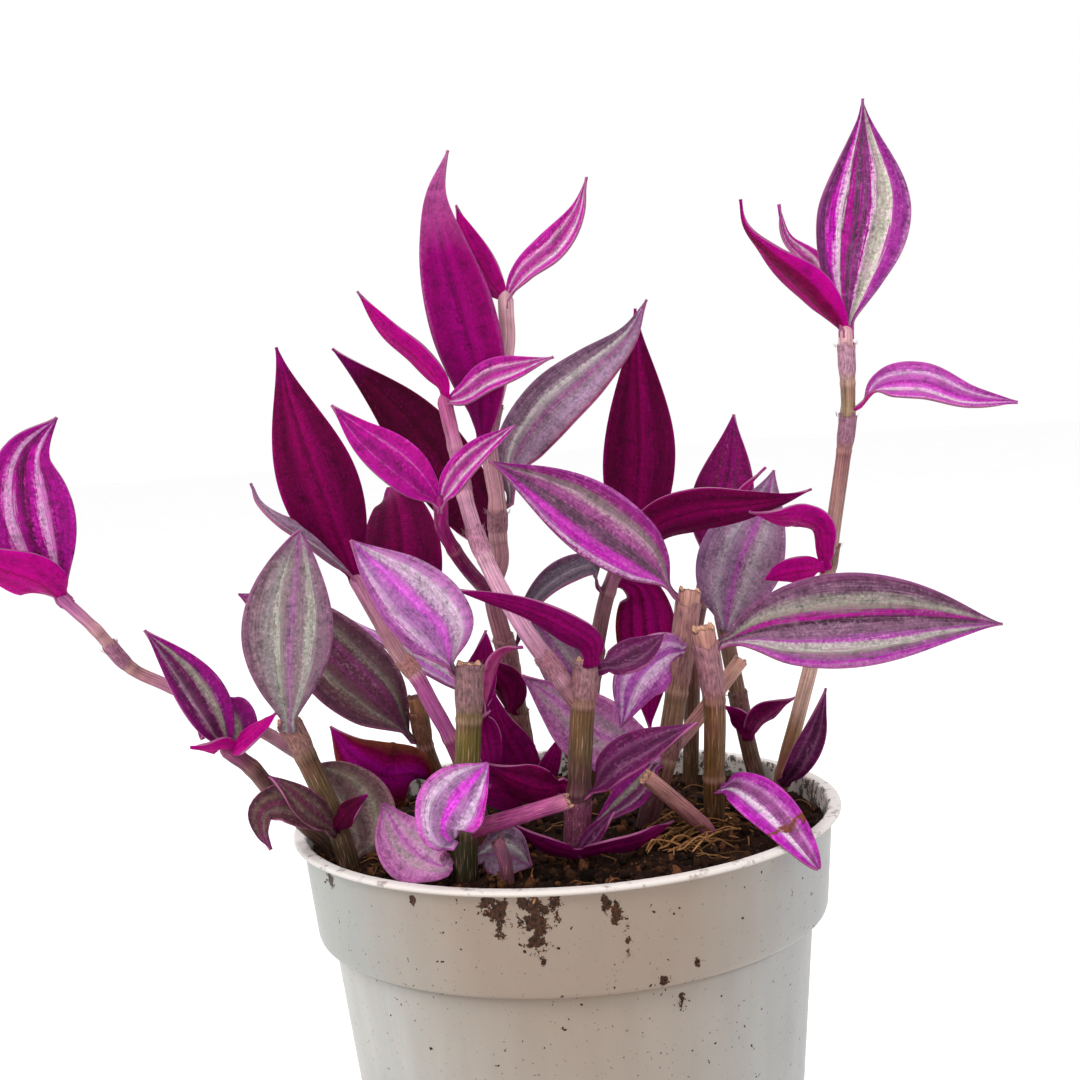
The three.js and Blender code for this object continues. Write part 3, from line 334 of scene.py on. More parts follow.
class Route:
    """A smooth curve through points, read by its length."""

    def __init__(self, points, divisions=ROUTE_DIVISIONS):
        self.points = points
        self.divisions = divisions
        lengths = [0]
        last = self.at(0)
        for step in range(1, divisions + 1):
            point = self.at(step / divisions)
            lengths.append(lengths[-1] + (point - last).length)
            last = point
        self.lengths = lengths
        self.length = lengths[-1]

    def at(self, t):
        """The point at the curve's own parameter, from 0 to 1."""
        points = self.points
        count = len(points)
        place = (count - 1) * t
        index = min(int(place), count - 2)
        weight = place - index
        p1 = points[index]
        p2 = points[index + 1]
        p0 = points[index - 1] if index > 0 else p1 * 2 - p2
        p3 = points[index + 2] if index + 2 < count else p2 * 2 - p1
        d1 = max((p2 - p1).length ** 0.5, LEAST_STEP)
        d0 = (p1 - p0).length ** 0.5 or d1
        d2 = (p3 - p2).length ** 0.5 or d1
        t1 = ((p1 - p0) / d0 - (p2 - p0) / (d0 + d1) + (p2 - p1) / d1) * d1
        t2 = ((p2 - p1) / d1 - (p3 - p1) / (d1 + d2) + (p3 - p2) / d2) * d1
        bend = p2 * 3 - p1 * 3 - t1 * 2 - t2
        turn = p1 * 2 - p2 * 2 + t1 + t2
        return p1 + t1 * weight + bend * weight ** 2 + turn * weight ** 3

    def spread(self, share):
        """The curve's own parameter at a share of its length."""
        goal = share * self.length
        low = 0
        high = self.divisions
        while high - low > 1:
            middle = (low + high) // 2
            if self.lengths[middle] <= goal:
                low = middle
            else:
                high = middle
        step = self.lengths[high] - self.lengths[low]
        part = (goal - self.lengths[low]) / step if step > 0 else 0
        return (low + part) / self.divisions

    def point(self, share):
        return self.at(min(max(self.spread(share), 0), 1))

    def tangent(self, share):
        t = self.spread(share)
        low = max(t - LEAST_STEP, 0)
        high = min(t + LEAST_STEP, 1)
        return (self.at(high) - self.at(low)).normalized()

    def nearest(self, place):
        """The share of the length that shows nearest to a place in the picture."""
        best = 0
        least = math.inf
        for step in range(NEAREST_STEPS + 1):
            across, down = pictured(self.point(step / NEAREST_STEPS))
            miss = math.hypot(across - place[0], down - place[1])
            if miss < least:
                least = miss
                best = step / NEAREST_STEPS
        return best


class StemPath:
    """One stem or side shoot: its route, thickness, nodes, colours and sheaths."""

    def __init__(self, thick, nodes, places, tones, sheaths=(), end="cut", rooted=False):
        points = [seen(*place) for place in places]
        if rooted:
            foot = points[0]
            points.insert(0, Vector((ROOT_PULL * foot.x, ROOT_PULL * foot.y, foot.z - ROOT_DEPTH)))
        self.route = Route(points)
        self.length = self.route.length
        self.thick = thick
        self.nodes = [self.along(node) for node in nodes]
        self.tones = [(self.along(place), linear(code)) for place, code in tones]
        self.sheaths = [(self.along(low), self.along(high), linear(code)) for low, high, code in sheaths]
        self.end = end

    def along(self, place):
        return self.route.nearest(place) * self.length

    def plain_radius(self, along):
        low, high = self.thick
        return (low + (high - low) * along / self.length) / 2

    def seat_radius(self, along):
        near = any(abs(spot - along) < NODE_HALF / 2 for spot in self.nodes)
        return self.plain_radius(along) * (NODE_SWELL if near else 1)

    def radius(self, along):
        """The radius with a narrow ring at each node and a slight waist above it."""
        swell = 0
        for spot in self.nodes:
            swell += NODE_RING * hump(along - spot, NODE_REACH)
            swell -= WAIST * hump(along - spot - WAIST_RISE, WAIST_REACH)
        return self.plain_radius(along) * (1 + swell)

    def tone(self, along):
        """The colour along the stem, with a pale ring at each node and a dark one below it."""
        tones = self.tones
        colour = tones[-1][1] if along > tones[-1][0] else tones[0][1]
        for (low, first), (high, second) in zip(tones, tones[1:]):
            if low <= along <= high and high > low:
                colour = blended(first, second, (along - low) / (high - low))
                break
        for spot in self.nodes:
            colour = blended(colour, NODE_PALE, PALE_RING * hump(along - spot, PALE_REACH))
            colour = blended(colour, NODE_DARK, DARK_RING * hump(along - spot + DARK_DROP, DARK_REACH))
        return colour


def hump(offset, reach):
    """1 at no offset, and down to nothing a few reaches away."""
    return math.exp(-(offset / reach) ** 2)


def linear(code):
    """A linear colour from a web colour."""
    channels = [int(code[start:start + 2], 16) / 255 for start in (0, 2, 4)]
    return [c / 12.92 if c <= 0.04045 else ((c + 0.055) / 1.055) ** 2.4 for c in channels]


def opaque(colour):
    """Four channels for a shader, from a web colour or from a linear one."""
    return (*(linear(colour) if isinstance(colour, str) else colour), 1)


def blended(first, second, share):
    """The colour at a share of the way from the first to the second."""
    return [a + (b - a) * share for a, b in zip(first, second)]


NODE_PALE = linear("e2ccb8")
NODE_DARK = linear("4c2c34")
CUT_STRAW = linear("ecd8a8")
CUT_BROWN = linear("5c442c")
STEM_TINT = linear("e0c0d0")
HAIR_PALE = linear("d0c0c0")


# Stems: the first path of each is rooted, and the rest are its side shoots.
STEMS = {
    "stem_front_left": [
        StemPath(
            (5.2, 5), [(465, 830), (469, 718)],
            [(466, 886, -40), (465, 830, -40), (469, 718, -41), (469, 664, -41)],
            [((466, 886), "282a16"), ((465, 842), "3c421e"), ((465, 822), "545828"), ((467, 770), "5f672c"),
             ((469, 724), "6c6a30"), ((469, 664), "8c7878")],
            [((469, 715), (469, 667), "94807a"), ((465, 829), (466, 808), "6c5a48")], rooted=True),
        StemPath(
            (3.6, 3.2), [],
            [(465, 832, -40), (505, 820, -43), (568, 801, -46)],
            [((465, 832), "7c3c5c"), ((505, 820), "a8588c"), ((552, 805), "b06896"),
             ((568, 801), "c08ca0")]),
    ],
    "stem_centre": [
        StemPath(
            (4.9, 5), [(580, 790), (581, 704)],
            [(577, 863, -29), (579, 790, -29), (583, 704, -29), (588, 661, -29)],
            [((577, 863), "3c2c24"), ((578, 840), "7a4a60"), ((580, 796), "604448"), ((581, 760), "5c5838"),
             ((581, 712), "74643c"), ((588, 661), "b09c94")],
            [((582, 703), (588, 664), "a8908c"), ((577, 858), (579, 802), "7c4c62")], rooted=True),
        StemPath(
            (3.8, 3.2), [(563, 682), (485, 558), (465, 497), (456, 445)],
            [(581, 708, -29), (563, 682, -28), (522, 625, -22), (485, 558, -15), (465, 497, -9),
             (458, 460, -6), (447, 412, -4)],
            [((581, 708), "7c6454"), ((563, 682), "b0949c"), ((522, 625), "dcbcd0"), ((485, 558), "f4dce4"),
             ((465, 497), "ecccdc"), ((447, 412), "b8709c")],
            [((563, 682), (545, 656), "b8949c"), ((485, 558), (476, 530), "dcb8c8"),
             ((465, 497), (461, 475), "d4b0c0")], end="bud"),
    ],
    "stem_back_tall": [
        StemPath(
            (5, 3.4), [(525, 748), (511, 668), (493, 590), (498, 536), (497, 505), (489, 436)],
            [(552, 806, 22), (525, 748, 22), (511, 668, 18), (493, 590, 10), (500, 560, 9), (498, 536, 8),
             (497, 500, 7), (489, 436, 5), (507, 345, 2), (506, 310, 0)],
            [((552, 806), "54502c"), ((525, 748), "6c6a3c"), ((511, 668), "a88c7c"), ((493, 590), "b48c98"),
             ((498, 536), "d8c0b8"), ((489, 436), "d8bcc0"), ((506, 310), "e0ccc8")],
            [((525, 748), (517, 712), "9c8874"), ((511, 668), (504, 636), "b09490"),
             ((498, 536), (497, 511), "b89ca0"), ((489, 436), (493, 404), "b890a0")],
            end="bud", rooted=True),
        StemPath(
            (3.4, 3), [(454, 550)],
            [(494, 594, 10), (484, 587, 4), (466, 567, -6), (453, 548, -11), (442, 527, -15),
             (441, 512, -17)],
            [((494, 594), "8c3a6c"), ((453, 548), "8a2a6a"), ((441, 512), "9c2c7c")], end="bud"),
    ],
    "stem_right_inner": [
        StemPath(
            (4.8, 4.8), [(664, 762), (677, 692)],
            [(646, 832, -12), (664, 765, -11), (677, 690, -9), (690, 590, -8)],
            [((646, 832), "4c3434"), ((655, 798), "6c4c4c"), ((664, 765), "7a6a4c"), ((675, 700), "8c7c5c"),
             ((690, 590), "c4ac94")],
            [((677, 690), (688, 604), "b89c90"), ((664, 762), (669, 734), "8c6c64")], rooted=True),
        StemPath(
            (3.4, 3.3), [],
            [(665, 756, -11), (690, 728, -2), (741, 660, 2)],
            [((665, 756), "94687c"), ((690, 728), "c0a090"), ((741, 660), "e0ccac")]),
    ],
    "stem_right_stub": [
        StemPath(
            (4.3, 4.9), [(714, 778), (714, 699)],
            [(714, 830, -11), (714, 778, -13), (714, 699, -15), (703, 628, -17)],
            [((714, 830), "3c3020"), ((714, 782), "6c5c34"), ((714, 702), "74603c"), ((712, 686), "b08c8c"),
             ((703, 628), "c8b094")],
            [((714, 698), (707, 643), "b89a98")], rooted=True),
    ],
    "stem_right_tall": [
        StemPath(
            (3.6, 3.2), [(783, 772), (829, 575), (844, 451), (848, 413), (847, 382)],
            [(779, 800, 13), (783, 772, 13), (799, 712, 12), (820, 625, 10), (834, 523, 8), (844, 451, 7),
             (848, 413, 6), (846, 342, 5)],
            [((779, 800), "6c5440"), ((783, 772), "a88464"), ((795, 728), "a8986c"), ((800, 708), "d8d0b0"),
             ((820, 625), "e4dcc0"), ((834, 523), "b0a48c"), ((844, 455), "a08078"), ((848, 413), "9c9c70"),
             ((847, 387), "a8a480"), ((846, 342), "e4d0c8")],
            [((829, 574), (832, 546), "a08c78"), ((844, 450), (848, 416), "b094a0"),
             ((847, 381), (846, 344), "d4bcc4")], end="bud", rooted=True),
    ],
    "stem_back_right": [
        StemPath(
            (4.2, 3.8), [(743, 722)],
            [(757, 784, 27), (750, 752, 28), (743, 722, 29), (737, 690, 30), (722, 617, 32)],
            [((757, 784), "443c28"), ((743, 722), "645438"), ((722, 617), "8c7c64")],
            [((743, 722), (738, 692), "7c6858")], rooted=True),
    ],
    "stem_front_cut": [
        StemPath(
            (3.6, 3.5), [],
            [(708, 834, -19), (692, 816, -20), (646, 777, -23)],
            [((708, 834), "9c6474"), ((692, 816), "b89088"), ((646, 777), "c8ac98")], rooted=True),
    ],
    "stem_left_stub": [
        StemPath(
            (4.5, 4.6), [(305, 755)],
            [(350, 868, -22), (334, 818, -21), (305, 755, -20), (287, 719, -20)],
            [((350, 868), "3c3420"), ((334, 818), "5c5434"), ((305, 760), "6c6440"), ((300, 742), "a08878"),
             ((287, 719), "c4b080")],
            [((305, 754), (290, 724), "ac9884")], rooted=True),
        StemPath(
            (3, 2.7), [(131, 668), (96, 630)],
            [(304, 756, -20), (290, 748, -14), (262, 731, -5), (166, 685, 2), (131, 668, 1), (96, 630, -1),
             (70, 606, -2)],
            [((304, 756), "7c4c64"), ((262, 731), "a07c84"), ((166, 685), "b48c9c"), ((126, 662), "a89484"),
             ((100, 634), "d0bcb4"), ((70, 606), "b880ac")],
            [((131, 668), (110, 645), "b08ca0")], end="bud"),
    ],
    "stem_left_low": [
        StemPath(
            (3.4, 3.6), [(252, 768)],
            [(335, 855, -12), (300, 820, -13), (273, 793, -14), (252, 768, -16), (236, 756, -17)],
            [((335, 855), "3c3424"), ((300, 820), "5c4c3c"), ((252, 768), "745c54"),
             ((236, 756), "8c5474")], end="bud", rooted=True),
    ],
    "stem_dry_stub": [
        StemPath(
            (3.8, 3.8), [(425, 745)],
            [(446, 806, 14), (436, 775, 13), (425, 745, 11), (416, 697, 9)],
            [((446, 806), "4c3c28"), ((425, 745), "7c6448"), ((416, 697), "a88c64")],
            [((425, 744), (419, 712), "947c5c")], end="dry", rooted=True),
    ],
    "stem_pink": [
        StemPath(
            (3.7, 3.3), [(450, 737), (417, 677)],
            [(486, 838, -13), (470, 785, -13), (450, 737, -13), (431, 703, -13), (417, 677, -12),
             (396, 650, -11), (378, 618, -9), (362, 590, -7)],
            [((486, 838), "4c3428"), ((470, 785), "7c4c5c"), ((452, 742), "9c5480"), ((448, 733), "bc74ac"),
             ((418, 680), "b870a8"), ((414, 672), "c0aca0"), ((362, 590), "b88ca4")],
            [((417, 677), (404, 660), "c8a898")], end="bud", rooted=True),
    ],
    "stem_front_small": [
        StemPath(
            (2.9, 2.7), [],
            [(508, 887, -43), (505, 862, -43), (497, 840, -42)],
            [((508, 887), "4c3c28"), ((505, 862), "7c5468"), ((497, 840), "a87c8c")], rooted=True),
    ],
    "stem_back_middle": [
        StemPath(
            (4.2, 3.6), [(592, 685), (608, 592)],
            [(590, 786, 34), (591, 735, 31), (592, 685, 28), (599, 632, 25), (608, 592, 24),
             (619, 564, 23)],
            [((590, 786), "4c4428"), ((592, 685), "7c6c4c"), ((608, 592), "9c7c84"),
             ((619, 564), "a87c94")],
            [((592, 685), (597, 650), "94806c")], rooted=True),
    ],
    "stem_back_second": [
        StemPath(
            (4, 3.6), [(700, 604)],
            [(690, 786, 37), (692, 710, 37), (694, 640, 37), (700, 604, 37), (707, 572, 37)],
            [((690, 786), "4c4428"), ((694, 640), "7c6850"), ((707, 572), "9c7488")],
            end="bud", rooted=True),
    ],
}


class Seat:
    """Where a blade starts: beside a stem, or on the bud at a shoot's end."""

    def __init__(self, stem, place, aim, out, tip):
        if tip is not None:
            route = STEMS[stem][tip].route
            self.up = route.tangent(1)
            self.point = route.point(1) + self.up * (BUD_RADIUS + BUD_GAP)
            self.out = None
            self.reach = BUD_RADIUS
            return
        spots = []
        for path in STEMS[stem]:
            spot = path.route.nearest(place)
            across, down = pictured(path.route.point(spot))
            spots.append((math.hypot(across - place[0], down - place[1]), path, spot))
        _, path, spot = min(spots, key=lambda entry: entry[0])
        centre = path.route.point(spot)
        self.up = path.route.tangent(spot)
        direction = Vector(out) if out else aim - centre
        direction -= self.up * direction.dot(self.up)
        self.out = direction.normalized()
        self.stem_radius = path.seat_radius(spot * path.length)
        self.reach = self.stem_radius + SEAT_GAP
        self.point = centre + self.out * self.reach


class Blade:
    """One leaf blade: its midrib in picture points and depths from the seat, width, turn, cup and looks."""

    def __init__(self, midrib, width, turn, cup, upper, under, out=None, tip=None, widest=0.42, taper=1.15):
        self.midrib = midrib
        self.width = width
        self.turn = turn if isinstance(turn, tuple) else (turn, turn)
        self.cup = cup
        self.upper = upper
        self.under = under
        self.out = out
        self.tip = tip
        self.widest = widest
        self.taper = taper

    def grow(self, stem, place):
        """Seat the blade at a stem's place in the picture, and lead its midrib on from there."""
        across, down, depth = self.midrib[0]
        trial = Seat(stem, place, seen(across, down, 0), self.out, None)
        aim = seen(across, down, trial.point.y + depth)
        self.seat = Seat(stem, place, aim, self.out, self.tip)
        start = self.seat.point
        self.route = Route([start] + [seen(a, d, start.y + more) for a, d, more in self.midrib])
        return self

    def half_width(self, t):
        bow = max(math.sin(math.pi * t ** (math.log(0.5) / math.log(self.widest))), 0)
        bow **= self.taper if t > self.widest else BASE_TAPER
        neck = min(0.5, NECK_WIDTH / self.width)
        return max(0.5 * self.width * max(bow, neck * (1 - t / NECK_END)), TIP_HALF)

    def axes(self, t):
        """The midrib's point, the way the upper face looks, the way across, and which side clasps."""
        centre = self.route.point(t)
        along = self.route.tangent(max(t, FIRST_TANGENT))
        facing = (EYE - centre).normalized()
        facing = (facing - along * facing.dot(along)).normalized()
        right = along.cross(facing)
        angle = math.radians(self.turn[0] + (self.turn[1] - self.turn[0]) * t)
        hold = 1
        if self.seat.out:
            inward = self.seat.up * CLASP_LIFT - self.seat.out
            start = math.atan2(inward.dot(right), inward.dot(facing))
            swing = math.atan2(math.sin(start - angle), math.cos(start - angle))
            hold = -1 if abs(swing) > math.pi / 2 else 1
            if hold > 0:
                angle += (1 - smooth(t, 0, SWING_END)) * min(max(swing, -BASE_SWING), BASE_SWING)
        face = facing * math.cos(angle) + right * math.sin(angle)
        return centre, face, along.cross(face), hold

    def row(self, t, columns):
        """The points across the blade at t, with waved margins, a midrib groove and fine pleats."""
        centre, face, side, hold = self.axes(t)
        half = self.half_width(t)
        clasp = hold * min(half / self.seat.reach, MOST_CLASP)
        hug = smooth(t, 0, HUG_END)
        bend = clasp + (self.cup - clasp) * hug
        if abs(bend) < LEAST_BEND:
            bend = LEAST_BEND
        points = []
        for column in range(columns + 1):
            u = 2 * column / columns - 1
            lean = bend * abs(u)
            point = centre + side * math.copysign(half * math.sin(lean) / bend, u)
            point += face * (half * (1 - math.cos(lean)) / bend)
            phase = self.width + (WAVE_SHIFT if u > 0 else 0)
            ripple = MARGIN_WAVE * abs(u) ** 3 * math.sin(MARGIN_WAVES * t + phase)
            groove = -GROOVE_DEPTH * hump(u, GROOVE_HALF) * (1 - t)
            pleat = PLEAT_DEPTH * math.cos(PLEATS * u)
            relief = (groove + pleat) * min(half / FULL_RELIEF, 1)
            points.append(point + face * ((ripple + relief) * hug))
        return points

    def foot_row(self, reach_in, columns):
        """The row at the seat, drawn in towards the stem's surface by reach_in, from 0 to 1."""
        points = self.row(0, columns)
        seat = self.seat
        if not seat.out:
            return [point - seat.up * (BUD_DROP * reach_in) for point in points]
        axis = seat.point - seat.out * seat.reach
        drawn = []
        for point in points:
            spoke = point - axis
            spoke -= seat.up * spoke.dot(seat.up)
            inward = (seat.reach - seat.stem_radius + FOOT_BITE) * reach_in
            inward = min(inward, FOOT_REACH * spoke.length)
            drawn.append(point - spoke.normalized() * inward - seat.up * (FOOT_DROP * reach_in))
        return drawn


def leaves(slot, stem, place, blades):
    """A node's blades, seated at one place of a stem, with the material slot they share."""
    return slot, [blade.grow(stem, place) for blade in blades]


# Leaves: the blades of each node, with their slot and the stem and place they all sit at.
LEAVES = {
    "leaf_right_silver": leaves("leaf_silver", "stem_right_stub", (711, 645), [
        Blade([(763, 630, -3), (850, 621, -5), (930, 618, -4), (1003, 624, 0)],
              21, -20, 0.15, "broad_silver", "wine"),
    ]),
    "leaves_crown_right": leaves("leaf_purple", "stem_right_tall", (846, 342), [
        Blade([(853, 272, 2), (864, 205, 1), (863, 98, -4)],
              20.5, 8, 0.35, "crown", "magenta", tip=0, widest=0.5, taper=1.5),
        Blade([(811, 292, -2), (769, 254, -5), (745, 226, -6), (740, 199, -6)],
              11, (138, 118), 0.5, "young", "painted_band_shade", tip=0, taper=1.4, widest=0.36),
        Blade([(812, 266, 5), (786, 238, 8), (779, 204, 9)],
              8.5, 52, 0.5, "pale_young", "rose", tip=0, taper=1.4),
    ]),
    "leaf_right_arching": leaves("leaf_purple", "stem_right_tall", (850, 408), [
        Blade([(881, 386, -1), (921, 382, -3), (969, 398, -5), (1018, 402, -6)],
              12.5, -52, 0.2, "arching", "magenta"),
    ]),
    "leaves_right_middle": leaves("leaf_magenta", "stem_right_tall", (829, 566), [
        Blade([(820, 530, -3), (802, 519, -5), (776, 517, -7), (749, 512, -8)],
              9, 128, 0.35, "young", "magenta", out=(-0.6, -1, 0)),
        Blade([(806, 570, -2), (785, 573, -1), (764, 580, 2)],
              7, 150, 0.3, "young", "magenta", out=(-0.6, -1, 0)),
    ]),
    "leaf_right_low": leaves("leaf_purple", "stem_right_tall", (782, 780), [
        Blade([(796, 768, -4), (812, 738, -6), (826, 688, -7)],
              6.5, 20, 0.35, "dusky", "wine", out=(0, -1, 0)),
    ]),
    "leaf_grey_upright": leaves("leaf_silver", "stem_back_right", (724, 628), [
        Blade([(731, 590, -1), (743, 553, -2), (763, 505, 1), (774, 470, 4)],
              20, 0, 0.15, "grey", "wine", out=(0, -1, 0)),
    ]),
    "leaf_long_dark": leaves("leaf_wine", "stem_back_middle", (617, 568), [
        Blade([(655, 527, -4), (697, 511, -9), (745, 506, -13), (785, 499, -14), (812, 489, -13)],
              11.5, -150, 0.3, "dusky", "wine", out=(0.5, -1, 0), taper=1.3),
    ]),
    "leaf_upright_dark": leaves("leaf_wine", "stem_back_middle", (617, 568), [
        Blade([(632, 530, 2), (639, 460, 1), (639, 400, 0), (635, 308, 1)],
              17, 180, 0.3, "dusky", "wine", out=(-0.3, 1, 0), taper=1.3),
    ]),
    "leaves_back_hanging": leaves("leaf_magenta", "stem_back_middle", (612, 580), [
        Blade([(638, 590, 2), (646, 630, 3), (648, 680, 3), (650, 730, 2)],
              14.5, 180, 0.2, "dusky", "deep_plum", out=(0.7, 1, 0)),
    ]),
    "leaf_grey_curved": leaves("leaf_silver", "stem_back_middle", (609, 590), [
        Blade([(592, 566, -3), (560, 577, -5), (531, 605, -6), (516, 646, -6)],
              9, 50, 0.3, "slate", "wine", out=(-1, -0.4, 0)),
    ]),
    "leaves_purple_upright": leaves("leaf_purple", "stem_back_second", (706, 576), [
        Blade([(716, 530, 2), (727, 475, 3), (734, 414, 2)], 15, 0, 0.3, "violet", "magenta", tip=0),
        Blade([(725, 525, -4), (745, 490, -5), (766, 467, -6)], 6, -110, 0.4, "young", "magenta", tip=0),
    ]),
    "leaf_striped_centre": leaves("leaf_purple", "stem_right_inner", (688, 597), [
        Blade([(650, 563, -3), (600, 525, -5), (545, 490, -6), (489, 461, -5)],
              17.5, 28, 0.12, "striped", "wine", widest=0.45),
    ]),
    "leaf_silver_behind": leaves("leaf_silver", "stem_back_middle", (592, 690), [
        Blade([(574, 676, -6), (553, 648, -7), (530, 612, -7)],
              12, 0, 0.25, "grey", "wine", out=(-0.1, -1, 0)),
    ]),
    "leaves_centre_top": leaves("leaf_magenta", "stem_centre", (588, 662), [
        Blade([(590, 646, -2), (568, 630, -5), (531, 612, -7), (490, 599, -8), (450, 588, -6)],
              7.5, (150, 118), 0.4, "dusky", "plum", out=(0.2, -1, 0), widest=0.34),
        Blade([(616, 664, 2), (640, 652, 5), (667, 633, 7)],
              8.5, -35, 0.25, "dusky", "wine", out=(1, -0.6, 0)),
    ]),
    "leaf_pink_striped": leaves("leaf_pink", "stem_front_left", (468, 672), [
        Blade([(441, 630, -3), (407, 595, -6), (375, 565, -8), (350, 540, -8)],
              17, 25, 0.15, "lilac", "plum", taper=1),
    ]),
    "leaves_front_left_node": leaves("leaf_magenta", "stem_front_left", (469, 716), [
        Blade([(488, 690, 1), (495, 664, 2), (507, 651, 3), (523, 647, 4)],
              6, -110, 0.5, "young", "rose", out=(0.8, 1, 0)),
        Blade([(478, 690, 4), (483, 660, 6), (486, 630, 7)], 7, 180, 0.3, "young", "plum", out=(0.8, 1, 0)),
        Blade([(487, 735, 4), (491, 760, 4), (489, 788, 4)],
              5.5, 180, 0.3, "dusky", "plum", out=(0.8, 1, 0)),
    ]),
    "leaf_dark_drooping": leaves("leaf_wine", "stem_back_tall", (519, 706), [
        Blade([(508, 688, -5), (493, 670, -9), (476, 655, -10)],
              8.5, 160, 0.3, "dusky", "wine", out=(-0.5, -1, 0)),
    ]),
    "leaf_lilac_narrow": leaves("leaf_pink", "stem_back_tall", (512, 680), [
        Blade([(470, 688, 1), (430, 668, 2), (380, 640, 3), (331, 609, 4)],
              7.5, 60, 0.25, "lilac", "rose", out=(-1, 0.5, 0)),
    ]),
    "leaf_low_wine": leaves("leaf_wine", "stem_centre", (579, 786), [
        Blade([(545, 789, -3), (515, 780, -6), (487, 763, -8)], 9, 150, 0.3, "dusky", "wine"),
    ]),
    "leaf_centre_right": leaves("leaf_purple", "stem_centre", (580, 792), [
        Blade([(613, 767, -4), (655, 742, -6), (698, 723, -6)],
              9.5, -38, 0.25, "dusky", "wine", out=(0.7, -1, 0)),
    ]),
    "leaves_low_back": leaves("leaf_purple", "stem_back_tall", (543, 786), [
        Blade([(515, 790, -4), (490, 791, -8), (462, 796, -10)],
              10, 180, 0.2, "dusky", "plum", out=(-0.6, -1, 0)),
        Blade([(550, 765, -4), (563, 733, -4)], 5, 180, 0.3, "dusky", "plum", out=(-0.6, -1, 0)),
        Blade([(519, 764, -5), (500, 727, -8), (492, 688, -8)],
              10.5, 180, 0.25, "young", "plum", out=(-0.6, -1, 0)),
    ]),
    "leaf_front_striped": leaves("leaf_pink", "stem_front_left", (466, 836), [
        Blade([(450, 841, -4), (443, 829, -6), (456, 798, -8), (488, 763, -7)],
              13.5, 0, 0.15, "front", "magenta", out=(-1, -0.8, 0), widest=0.56, taper=1),
    ]),
    "leaves_front_low": leaves("leaf_pink", "stem_front_left", (466, 856), [
        Blade([(444, 866, -1.7), (420, 856, 3), (398, 834, 6), (383, 803, 8)],
              13.5, 10, 0.15, "rosy", "plum", widest=0.48, taper=1, out=(-1, -0.4, 0)),
        Blade([(486, 854, 1), (508, 855, 2), (532, 866, 2)], 12, 5, 0.2, "misty", "plum", out=(1, 0.3, 0)),
    ]),
    "leaf_magenta_folded": leaves("leaf_magenta", "stem_dry_stub", (434, 772), [
        Blade([(412, 774, -5), (385, 776, -8), (355, 757, -9), (330, 726, -8)],
              15.5, 165, 0.3, "dusky", "scorched", out=(-0.7, -1, 0)),
    ]),
    "leaf_grey_large": leaves("leaf_silver", "stem_dry_stub", (423, 738), [
        Blade([(388, 710, -2), (345, 668, -1), (295, 622, 1), (238, 594, 3)],
              19.5, 20, 0.12, "grey_dark", "wine", out=(-1, 0, 0), taper=0.95),
    ]),
    "leaf_silver_face": leaves("leaf_silver", "stem_left_stub", (290, 727), [
        Blade([(287, 664, -2), (289, 605, -3), (299, 530, -1)],
              18.5, 0, 0.05, "face", "wine", widest=0.5, taper=0.85, out=(0, -1, 0)),
    ]),
    "leaves_left_dark": leaves("leaf_wine", "stem_pink", (362, 590), [
        Blade([(325, 500, -4), (300, 430, -4), (276, 347, 0)],
              17, 180, 0.3, "dusky", "wine", tip=0, taper=1.3),
        Blade([(338, 562, -2), (311, 541, -5), (280, 523, -7), (259, 503, -7), (251, 483, -6)],
              8, 62, 0.35, "misty", "rose", tip=0),
    ]),
    "leaf_round_dark": leaves("leaf_wine", "stem_pink", (388, 636), [
        Blade([(399, 592, 10), (401, 540, 15), (396, 500, 22), (388, 488, 30)],
              18.5, 180, 0.2, "dusky", "wine", out=(0.5, 1, 0), taper=0.8),
    ]),
    "leaf_tall_dark": leaves("leaf_wine", "stem_back_tall", (490, 440), [
        Blade([(478, 380, -5), (462, 320, -8), (442, 245, -9), (436, 195, -8), (448, 150, -6)],
              15, 172, 0.35, "dusky", "tall", out=(-0.4, -1, 0), taper=1.25),
    ]),
    "leaves_top_pair": leaves("leaf_magenta", "stem_back_tall", (506, 310), [
        Blade([(525, 272, -1), (555, 247, -3), (577, 213, -3), (587, 177, -2)],
              9.5, -48, 0.4, "pale_young", "magenta", tip=0),
        Blade([(488, 277, 4), (468, 240, 6), (456, 205, 7)], 7.5, 150, 0.3, "young", "magenta", tip=0),
    ]),
    "leaves_middle_pair": leaves("leaf_magenta", "stem_centre", (447, 412), [
        Blade([(441, 385, -1), (418, 358, -2), (388, 333, -3), (357, 291, -3)],
              7.5, 130, 0.4, "young", "magenta", tip=1),
        Blade([(462, 396, -2), (490, 378, -4), (525, 366, -5), (554, 357, -5)],
              9, -45, 0.35, "pale_young", "magenta", tip=1),
    ]),
    "leaves_bright_pair": leaves("leaf_magenta", "stem_back_tall", (441, 512), [
        Blade([(403, 468, -3), (362, 436, -5), (331, 405, -5)], 10.5, 20, 0.3, "young", "magenta", tip=1),
        Blade([(455, 478, -3), (482, 450, -5), (515, 425, -5)],
              7.5, -38, 0.35, "pale_young", "magenta", tip=1),
    ]),
    "leaf_left_brown": leaves("leaf_wine", "stem_back_tall", (500, 562), [
        Blade([(476, 520, 5), (440, 464, 6), (400, 412, 7), (332, 348, 7)],
              16, 180, 0.25, "dusky", "brown", out=(-0.6, 1, 0), taper=1.25),
    ]),
    "leaf_silver_purple": leaves("leaf_silver", "stem_back_tall", (497, 507), [
        Blade([(516, 456, 2), (550, 408, 4), (590, 372, 5), (628, 336, 5), (647, 299, 4)],
              14.5, -25, 0.2, "misty", "wine", out=(1, 0.4, 0)),
    ]),
    "leaves_far_left": leaves("leaf_magenta", "stem_left_stub", (70, 606), [
